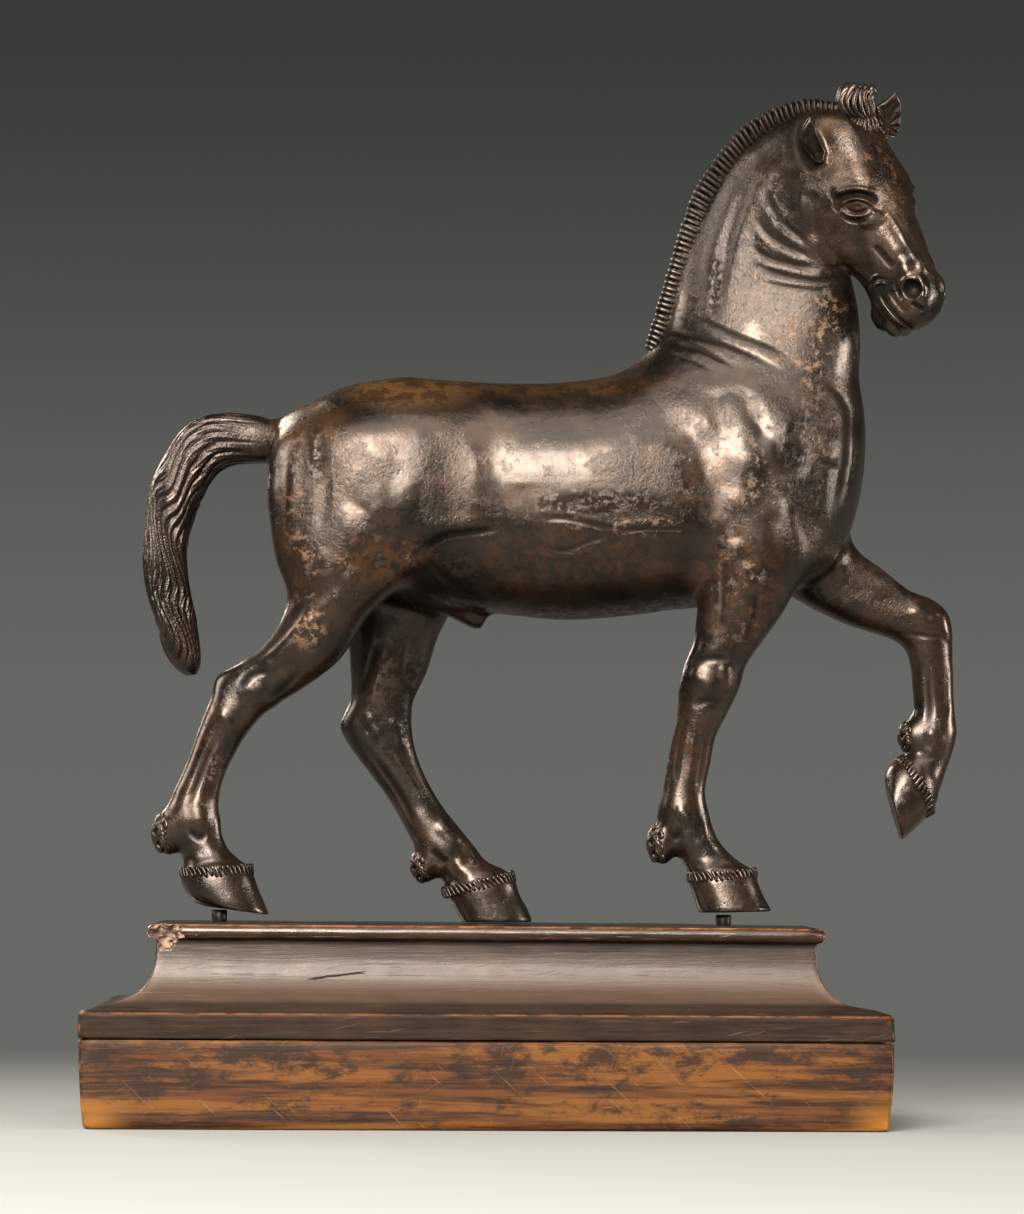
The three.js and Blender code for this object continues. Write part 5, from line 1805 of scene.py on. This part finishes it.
# Ridges rubbed lighter, and the painted sheen patches lighter too.
rub = maths(tree, "MULTIPLY", attribute(tree, "ridge"), step_up(tree, medium, 0.3, 0.6, 0.4, 1))
colour = tint(tree, step_up(tree, rub, 0.1, 0.6, 0, 0.6), colour, RUBBED_AND_SHEEN)
flaking = maths(tree, "MULTIPLY", attribute(tree, "flaked"), step_up(tree, flakes, 0.53, 0.55))
flaking = maths(tree, "MULTIPLY", flaking, herds)
spots = step_up(tree, flakes, 0.66, 0.68, 0, 0.6)
flaking = maths(tree, "MAXIMUM", flaking, spots)
colour = tint(tree, maths(tree, "MULTIPLY", flaking, 0.55), colour, BARE_TAN)
# The dark colour: grime in the hollows and in the soot patches, and painted shade in creases, holes, between
# locks and in the shaded patches.
soot_and_shade = maths(tree, "MULTIPLY", attribute(tree, "soot_and_shade"), step_up(tree, flakes, 0.44, 0.53, 0.1, 1))
soot_and_shade = maths(tree, "MAXIMUM", soot_and_shade, attribute(tree, "painted_shade"))
grime_and_shade_mask = maths(tree, "MAXIMUM", step_up(tree, attribute(tree, "hollow"), 0.02, 0.4, 0, 0.9), soot_and_shade)
colour = tint(tree, grime_and_shade_mask, colour, GRIME_AND_SHADE)
rough = step_up(tree, fine, 0.3, 0.7, 0.23, 0.33)
rough = maths(tree, "ADD", rough, maths(tree, "MULTIPLY", flaking, 0.16))
rough = maths(tree, "ADD", rough, maths(tree, "MULTIPLY", grime_and_shade_mask, 0.4))

skin = bumped(tree, broad, 0.7, 0.15)
PITTING = [
    # the pattern, its depth, and its strength on smooth and on grainy metal
    (medium, 0.35, 0.15, 0.6),
    (pit, 0.1, 0.05, 0.6),
    (fine, 0.2, 0.12, 0.85),
    (grain, 0.07, 0.15, 0.7),
]
for pattern, depth, smooth, grainy in PITTING:
    skin = bumped(tree, pattern, depth, step_up(tree, zone, 0, 1, smooth, grainy), skin)
skin = bumped(tree, flaking, -0.05, 0.6, skin)
plug(tree, shader, {"Base Color": colour, "Roughness": rough, "Normal": skin, "Coat Normal": skin})
plug(tree, shader, {"Specular IOR Level": step_up(tree, grime_and_shade_mask, 0, 1, 0.52, 0.06)})
plug(tree, shader, {"Coat Weight": step_up(tree, grime_and_shade_mask, 0, 1, 0.12, 0), "Coat Roughness": 0.2})
plug(tree, shader, {"Metallic": 0.5, "Specular Tint": (1, 0.87, 0.76, 1)})
print("bronze:", len(tree.nodes), "nodes")

# %% [markdown]
# The woods
#
# The moulded block is stained nearly black, so its grain shows only as faint streaks, and the colour of
# the wood comes through where edges are rubbed. The plain block is lighter, with dark stains and pale
# scratches. Both grains run along the length, so the noise is stretched along x.

# %% Attributes on the wood
def rubbed_edges(piece, rounds, lines):
    """The attributes of a wood piece. Lines of bare wood: height, half height and strength."""
    mesh = piece.data
    hollow = cavity(mesh, rounds)
    points, normals = read_points(mesh), read_normals(mesh)
    height = points[:, 2] - out_of_true(points)[:, 2] + points[:, 2]
    corner = smooth_step(np.minimum(np.abs(normals[:, 0]), np.abs(normals[:, 1])), 0.15, 0.5)
    bare = np.clip(-hollow, 0, 1) * corner
    steep = 1 - smooth_step(np.abs(normals[:, 2]), 0.965, 0.995)
    for middle, half, strength in lines:
        bare = np.maximum(bare, steep * strength * np.clip(1 - np.abs(height - middle) / half, 0, 1))
    write_value(mesh, "edge", bare)
    write_value(mesh, "hollow", np.clip(hollow, 0, 1))
    print(piece.name, "bare up to", round(float(bare.max()), 2))


COPPER_LINES = [
    (PLINTH_TOP - 0.25, 0.6, 1.0),
    (PLINTH_TOP - 2 * BEAD_RADIUS + 1.0, 0.5, 0.35),
    (FASCIA_TOP + 0.4, 0.5, 0.6),
    (FILLET_TOP + 0.1, 0.5, 0.6),
]
rubbed_edges(moulded, 2, COPPER_LINES)
rubbed_edges(base, 3, [(0.5, 1.2, 0.5), (BASE_TOP, 0.7, 0.5)])

# %% The black wood's nodes
# Heights in metres between which the finish changes, from the first to the second.
HOLLOW_FOOT = (0.0335, 0.035)
BROWN_END = (0.044, 0.036)
BEAD_FOOT = (0.0505, 0.0515)
WAX_START = (0.0305, 0.0335)
# A short slanting crack in the hollow: its height where x is nought, its rise a metre, its middle's x and
# how far it wobbles, in metres.
CRACK_LEVEL = 0.0464
CRACK_SLOPE = 0.12
CRACK_MIDDLE = -0.041
CRACK_WOBBLE = 0.0012
EBONY = (0.0044, 0.0026, 0.0019, 1)
EBONY_STREAK = (0.015, 0.0085, 0.0052, 1)
EBONY_BLOTCH = (0.022, 0.011, 0.006, 1)
COPPER = (0.094, 0.031, 0.0099, 1)
PALE_COPPER = (0.23, 0.1, 0.044, 1)
FOOT_BROWN = (0.075, 0.047, 0.033, 1)
SCRATCHED = (0.11, 0.072, 0.05, 1)
EBONY_HOLLOW = (0.0033, 0.0022, 0.0017, 1)
CRACK_BLACK = (0.002, 0.0013, 0.001, 1)

tree, shader = start(black_wood)
place = object_place(tree)
along = object_place(tree, (0.05, 1, 1))
streak = clouds(tree, along, 1.1, 6, 0.7)
wide_streak = clouds(tree, along, 5, 4)
blotch = clouds(tree, place, 26, 4)
patch = clouds(tree, place, 7, 5, 0.6)
across, depth, height = put(tree, "ShaderNodeSeparateXYZ", {0: place}).outputs
colour = tint(tree, step_up(tree, streak, 0.35, 0.65), EBONY, EBONY_STREAK)
colour = tint(tree, step_up(tree, blotch, 0.45, 0.7, 0, 0.6), colour, EBONY_BLOTCH)
rub = maths(tree, "MULTIPLY", attribute(tree, "edge"), step_up(tree, patch, 0.3, 0.6, 0.35, 1.2))
colour = tint(tree, step_up(tree, rub, 0.15, 0.6, 0, 0.9), colour, COPPER)
colour = tint(tree, step_up(tree, rub, 0.6, 1.0, 0, 0.6), colour, PALE_COPPER)
foot = maths(tree, "MULTIPLY", step_up(tree, height, *HOLLOW_FOOT), step_up(tree, height, *BROWN_END))
colour = tint(tree, maths(tree, "MULTIPLY", foot, 0.8), colour, FOOT_BROWN)
scratch = step_up(tree, clouds(tree, object_place(tree, (0.05, 1, 2.6)), 1.1, 2), 0.66, 0.71)
turned = put(tree, "ShaderNodeMapping", {"Vector": place, "Rotation": (0, 0.25, 0)})
tilted = put(tree, "ShaderNodeMapping", {"Vector": turned.outputs[0], "Scale": (0.06, 1, 2.8)})
slant = step_up(tree, clouds(tree, tilted.outputs[0], 1.3, 2), 0.7, 0.74)
scratch = maths(tree, "MAXIMUM", scratch, slant)
colour = tint(tree, maths(tree, "MULTIPLY", scratch, 0.45), colour, SCRATCHED)
colour = tint(tree, step_up(tree, attribute(tree, "hollow"), 0.05, 0.5, 0, 0.8), colour, EBONY_HOLLOW)
sloping = maths(tree, "SUBTRACT", height, maths(tree, "MULTIPLY", across, CRACK_SLOPE))
wobbling = maths(tree, "ADD", sloping, maths(tree, "MULTIPLY", patch, CRACK_WOBBLE))
off_line = maths(tree, "ABSOLUTE", maths(tree, "SUBTRACT", wobbling, CRACK_LEVEL + CRACK_WOBBLE / 2))
crack = maths(tree, "MULTIPLY", step_up(tree, off_line, 0.0003, 0.0001), step_up(tree, depth, -0.02, -0.03))
from_middle = maths(tree, "ABSOLUTE", maths(tree, "SUBTRACT", across, CRACK_MIDDLE))
crack = maths(tree, "MULTIPLY", crack, step_up(tree, from_middle, 0.0085, 0.005))
colour = tint(tree, maths(tree, "MULTIPLY", crack, 0.9), colour, CRACK_BLACK)
rough = step_up(tree, wide_streak, 0.3, 0.7, 0.36, 0.48)
rough = maths(tree, "ADD", rough, step_up(tree, height, *BEAD_FOOT, 0, -0.25))
rough = maths(tree, "ADD", rough, step_up(tree, height, *WAX_START, 0.15, 0))
rough = maths(tree, "ADD", rough, step_up(tree, patch, 0.3, 0.7, -0.06, 0.06))
skin = bumped(tree, wide_streak, 0.5, 0.35)
skin = bumped(tree, streak, 0.12, 0.6, skin)
skin = bumped(tree, clouds(tree, place, 1.0, 4, 0.7), 0.06, 0.5, skin)
skin = bumped(tree, scratch, -0.08, 0.6, skin)
skin = bumped(tree, crack, -0.5, 0.8, skin)
waxed = maths(tree, "MULTIPLY", step_up(tree, height, *WAX_START), step_up(tree, crack, 0.2, 0.8, 1, 0))
plug(tree, shader, {"Base Color": colour, "Roughness": rough, "Normal": skin, "Coat Normal": skin})
plug(tree, shader, {"Coat Weight": step_up(tree, waxed, 0, 1, 0, 0.18), "Coat Roughness": 0.26})
plug(tree, shader, {"Specular IOR Level": step_up(tree, waxed, 0, 1, 0.1, 0.26)})
plug(tree, shader, {"Specular Tint": (1, 0.88, 0.78, 1)})
print("black wood:", len(tree.nodes), "nodes")

# %% The brown wood's nodes
WOOD_DARK = (0.011, 0.0038, 0.0012, 1)
WOOD_RED = (0.052, 0.017, 0.003, 1)
WOOD_AMBER = (0.09, 0.034, 0.0052, 1)
STAIN = (0.0072, 0.0032, 0.002, 1)
GRAIN_LINE = (0.0056, 0.0026, 0.0016, 1)
PALE_SCRATCH = (0.17, 0.08, 0.025, 1)
BARE_EDGE = (0.14, 0.06, 0.014, 1)
GOLDEN_CORNER = (0.19, 0.08, 0.011, 1)
SCRATCHES = [
    # the way they run, in radians, their size in millimetres and how clear they are
    (0.55, 1.1, 0.5),
    (-0.75, 1.3, 0.5),
    (0.1, 1.0, 0.45),
    (1.35, 1.2, 0.35),
]

tree, shader = start(brown_wood)
place = object_place(tree)
along = object_place(tree, (0.05, 1, 1))
streak = clouds(tree, along, 1.4, 6, 0.65)
band = clouds(tree, along, 4.5, 5, 0.65, 0.3)
stain = clouds(tree, object_place(tree, (0.45, 1, 1)), 9, 8, 0.75)
across, _, height = put(tree, "ShaderNodeSeparateXYZ", {0: place}).outputs
colour = tint(tree, step_up(tree, streak, 0.36, 0.62), WOOD_DARK, WOOD_RED)
colour = tint(tree, step_up(tree, band, 0.47, 0.6, 0, 0.85), colour, WOOD_AMBER)
grime = maths(tree, "ADD", stain, step_up(tree, height, 0.008, 0.022, -0.03, 0.045))
colour = tint(tree, step_up(tree, grime, 0.48, 0.6, 0, 0.88), colour, STAIN)
dark_line = step_up(tree, clouds(tree, along, 1.9, 5, 0.65), 0.57, 0.68, 0, 0.45)
colour = tint(tree, dark_line, colour, GRAIN_LINE)
for turn, size, share in SCRATCHES:
    turned = put(tree, "ShaderNodeMapping", {"Vector": place, "Rotation": (0, turn, 0)})
    tilted = put(tree, "ShaderNodeMapping", {"Vector": turned.outputs[0], "Scale": (0.08, 1, 2.4)})
    line = step_up(tree, clouds(tree, tilted.outputs[0], size, 3), 0.66, 0.76)
    colour = tint(tree, maths(tree, "MULTIPLY", line, share), colour, PALE_SCRATCH)
bare = maths(tree, "MULTIPLY", attribute(tree, "edge"), step_up(tree, band, 0.35, 0.6, 0.2, 1.2))
colour = tint(tree, step_up(tree, bare, 0.1, 0.6, 0, 0.85), colour, BARE_EDGE)
corner = step_up(tree, maths(tree, "ABSOLUTE", across), 0.094, 0.111)
corner = maths(tree, "MULTIPLY", corner, step_up(tree, height, 0.011, 0.001))
colour = tint(tree, maths(tree, "MULTIPLY", corner, 0.8), colour, GOLDEN_CORNER)
rough = step_up(tree, streak, 0.3, 0.7, 0.4, 0.6)
skin = bumped(tree, streak, 0.15, 0.6)
skin = bumped(tree, dark_line, -0.1, 0.5, skin)
plug(tree, shader, {"Base Color": colour, "Roughness": rough, "Normal": skin, "Specular IOR Level": 0.12})
print("brown wood:", len(tree.nodes), "nodes")

# %% The bare wood in the bite, and the pegs
BARE_DARK = (0.11, 0.063, 0.039, 1)
BARE_PALE = (0.29, 0.2, 0.15, 1)
BITE_GRIME = (0.017, 0.0094, 0.0055, 1)
PEG_DARK = (0.0055, 0.005, 0.0044, 1)
PEG_WORN = (0.019, 0.017, 0.014, 1)

tree, shader = start(bare_wood)
place = object_place(tree)
fibre = clouds(tree, object_place(tree, (0.12, 1, 1)), 0.8, 6, 0.75)
blotch = clouds(tree, place, 4, 4)
colour = tint(tree, step_up(tree, fibre, 0.35, 0.65), BARE_DARK, BARE_PALE)
colour = tint(tree, step_up(tree, blotch, 0.48, 0.6, 0, 0.85), colour, BITE_GRIME)
plug(tree, shader, {"Base Color": colour, "Normal": bumped(tree, fibre, 0.3, 0.9), "Roughness": 0.75})

tree, shader = start(peg_metal)
place = object_place(tree)
colour = tint(tree, clouds(tree, place, 1.2, 4), PEG_DARK, PEG_WORN)
rough = step_up(tree, clouds(tree, place, 0.6), 0.3, 0.7, 0.35, 0.55)
skin = bumped(tree, clouds(tree, place, 0.5), 0.05)
plug(tree, shader, {"Base Color": colour, "Roughness": rough, "Normal": skin, "Metallic": 0.6})

# %% [markdown]
# The studio
#
# The bronze is dark and glossy, so what it mirrors is what it looks like: soft lamps, a pale floor and a
# dark room. One broad lamp stands in front and a little above, one at the right gives each leg its second
# light line, one behind at the left gives the thin rim, and one overhead lights the back and the floor.

# %% Camera
CAMERA = Vector((-16, -1800, 84.35)) * MM
TARGET = Vector((7, 0, 143.85)) * MM
ROLL = math.radians(0.245)
PHOTO_HEIGHT = 1214
MM_A_PIXEL = 0.28

ahead = (TARGET - CAMERA).normalized()
right = ahead.cross(Vector((0, 0, 1))).normalized()
up = right.cross(ahead)
right, up = math.cos(ROLL) * right + math.sin(ROLL) * up, math.cos(ROLL) * up - math.sin(ROLL) * right
camera_data = bpy.data.cameras.new("camera")
camera_data.sensor_fit = "VERTICAL"
camera_data.sensor_height = 24
pixels_away = (TARGET - CAMERA).length / (MM_A_PIXEL * MM)
camera_data.lens = camera_data.sensor_height * pixels_away / PHOTO_HEIGHT
camera_data.clip_start = 0.05
camera_data.clip_end = 20
camera = bpy.data.objects.new("camera", camera_data)
camera.matrix_world = Matrix.Translation(CAMERA) @ Matrix((right, up, -ahead)).transposed().to_4x4()
bpy.context.scene.collection.objects.link(camera)
bpy.context.scene.camera = camera
print("lens", round(camera_data.lens, 1), "mm")

# %% Lamps
MIDDLE = Vector((0.01, 0, 0.16))
LAMP_COLOUR = (1, 0.905, 0.82)


def lamp(name, azimuth, elevation, distance, width, height, power):
    """A soft box that looks at the horse. Azimuth 0 is the camera's side, 90 the way the horse faces."""
    a, e = math.radians(azimuth), math.radians(elevation)
    way = Vector((math.sin(a) * math.cos(e), -math.cos(a) * math.cos(e), math.sin(e)))
    data = bpy.data.lights.new(name, "AREA")
    data.shape = "ELLIPSE"
    data.size, data.size_y = width, height
    data.energy = power
    data.color = LAMP_COLOUR
    obj = bpy.data.objects.new(name, data)
    facing = way.to_track_quat("Z", "Y").to_matrix().to_4x4()
    obj.matrix_world = Matrix.Translation(MIDDLE + way * distance) @ facing
    bpy.context.scene.collection.objects.link(obj)


lamp("front", -13, 24, 1.75, 0.8, 1.15, 125)
lamp("right", 80, 7, 1.5, 0.55, 0.6, 32)
lamp("left", -92, 24, 1.5, 0.7, 0.7, 21)
lamp("left_rim", -148, 22, 1.6, 0.5, 0.8, 13)
lamp("overhead", 0, 56, 1.6, 2.0, 1.2, 33)
print(len(bpy.data.lights), "lamps")

# %% Floor and room
ROOM_LOW = (0.139, 0.142, 0.128, 1)
ROOM_HIGH = (0.042, 0.044, 0.039, 1)
FLOOR_COLOUR = (0.19, 0.201, 0.199, 1)
HORIZON_FADE = (0.0, 0.13)
# The floor turns into the room's colour behind, in front and far away, in metres.
BACK_FADE = (-0.2, 0.6)
FRONT_FADE = (-0.43, -0.55)
ROUND_FADE = (0.46, 0.75)

world = bpy.data.worlds.new("room")
bpy.context.scene.world = world
world.use_nodes = True
tree = world.node_tree
tree.nodes.clear()
way = put(tree, "ShaderNodeTexCoord", {})
height = put(tree, "ShaderNodeSeparateXYZ", {0: way.outputs["Generated"]}).outputs[2]
colour = tint(tree, step_up(tree, height, *HORIZON_FADE), ROOM_LOW, ROOM_HIGH)
glow = put(tree, "ShaderNodeBackground", {"Color": colour, "Strength": 1.0})
put(tree, "ShaderNodeOutputWorld", {"Surface": glow.outputs[0]})

build = bmesh.new()
bmesh.ops.create_circle(build, cap_ends=True, segments=96, radius=8)
floor_mesh = bpy.data.meshes.new("floor")
build.to_mesh(floor_mesh)
build.free()
floor = make_object("floor", floor_mesh)
floor_finish = bpy.data.materials.new("pale_floor")
floor_mesh.materials.append(floor_finish)
tree, shader = start(floor_finish)
place = object_place(tree)
plug(tree, shader, {"Base Color": FLOOR_COLOUR, "Roughness": 0.7})
depth = put(tree, "ShaderNodeSeparateXYZ", {0: place}).outputs[1]
from_it = put(tree, "ShaderNodeVectorMath", {0: place}, operation="LENGTH").outputs["Value"]
far = maths(tree, "MAXIMUM", step_up(tree, depth, *BACK_FADE), step_up(tree, depth, *FRONT_FADE))
far = maths(tree, "MAXIMUM", far, step_up(tree, from_it, *ROUND_FADE))
room_glow = put(tree, "ShaderNodeEmission", {"Color": ROOM_LOW, "Strength": 1.0})
both = put(tree, "ShaderNodeMixShader", {0: far, 1: shader.outputs[0], 2: room_glow.outputs[0]})
out = next(found for found in tree.nodes if found.type == "OUTPUT_MATERIAL")
tree.links.new(both.outputs[0], out.inputs[0])
bpy.context.scene.view_settings.view_transform = "Standard"

# %% [markdown]
# Pieces on the body
#
# Each piece rides with the part's one body, and the CAD solid it stands for is hidden.

# %% Riding and replacing
PIECES = [(piece, "bronze_horse", "bronze") for piece in bronze_pieces]
PIECES += [(moulded, "moulded_plinth", "ebonised_wood"), (base, "plinth_base", "brown_wood")]
PIECES += [(hind_peg, "hind_peg", "peg_metal"), (fore_peg, "fore_peg", "peg_metal")]
for piece, cad_node, finish in PIECES:
    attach(piece, "root")
    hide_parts(cad_node)
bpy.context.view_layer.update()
print(sum(triangles(piece.data) for piece, _, _ in PIECES), "triangles in", len(PIECES), "pieces")
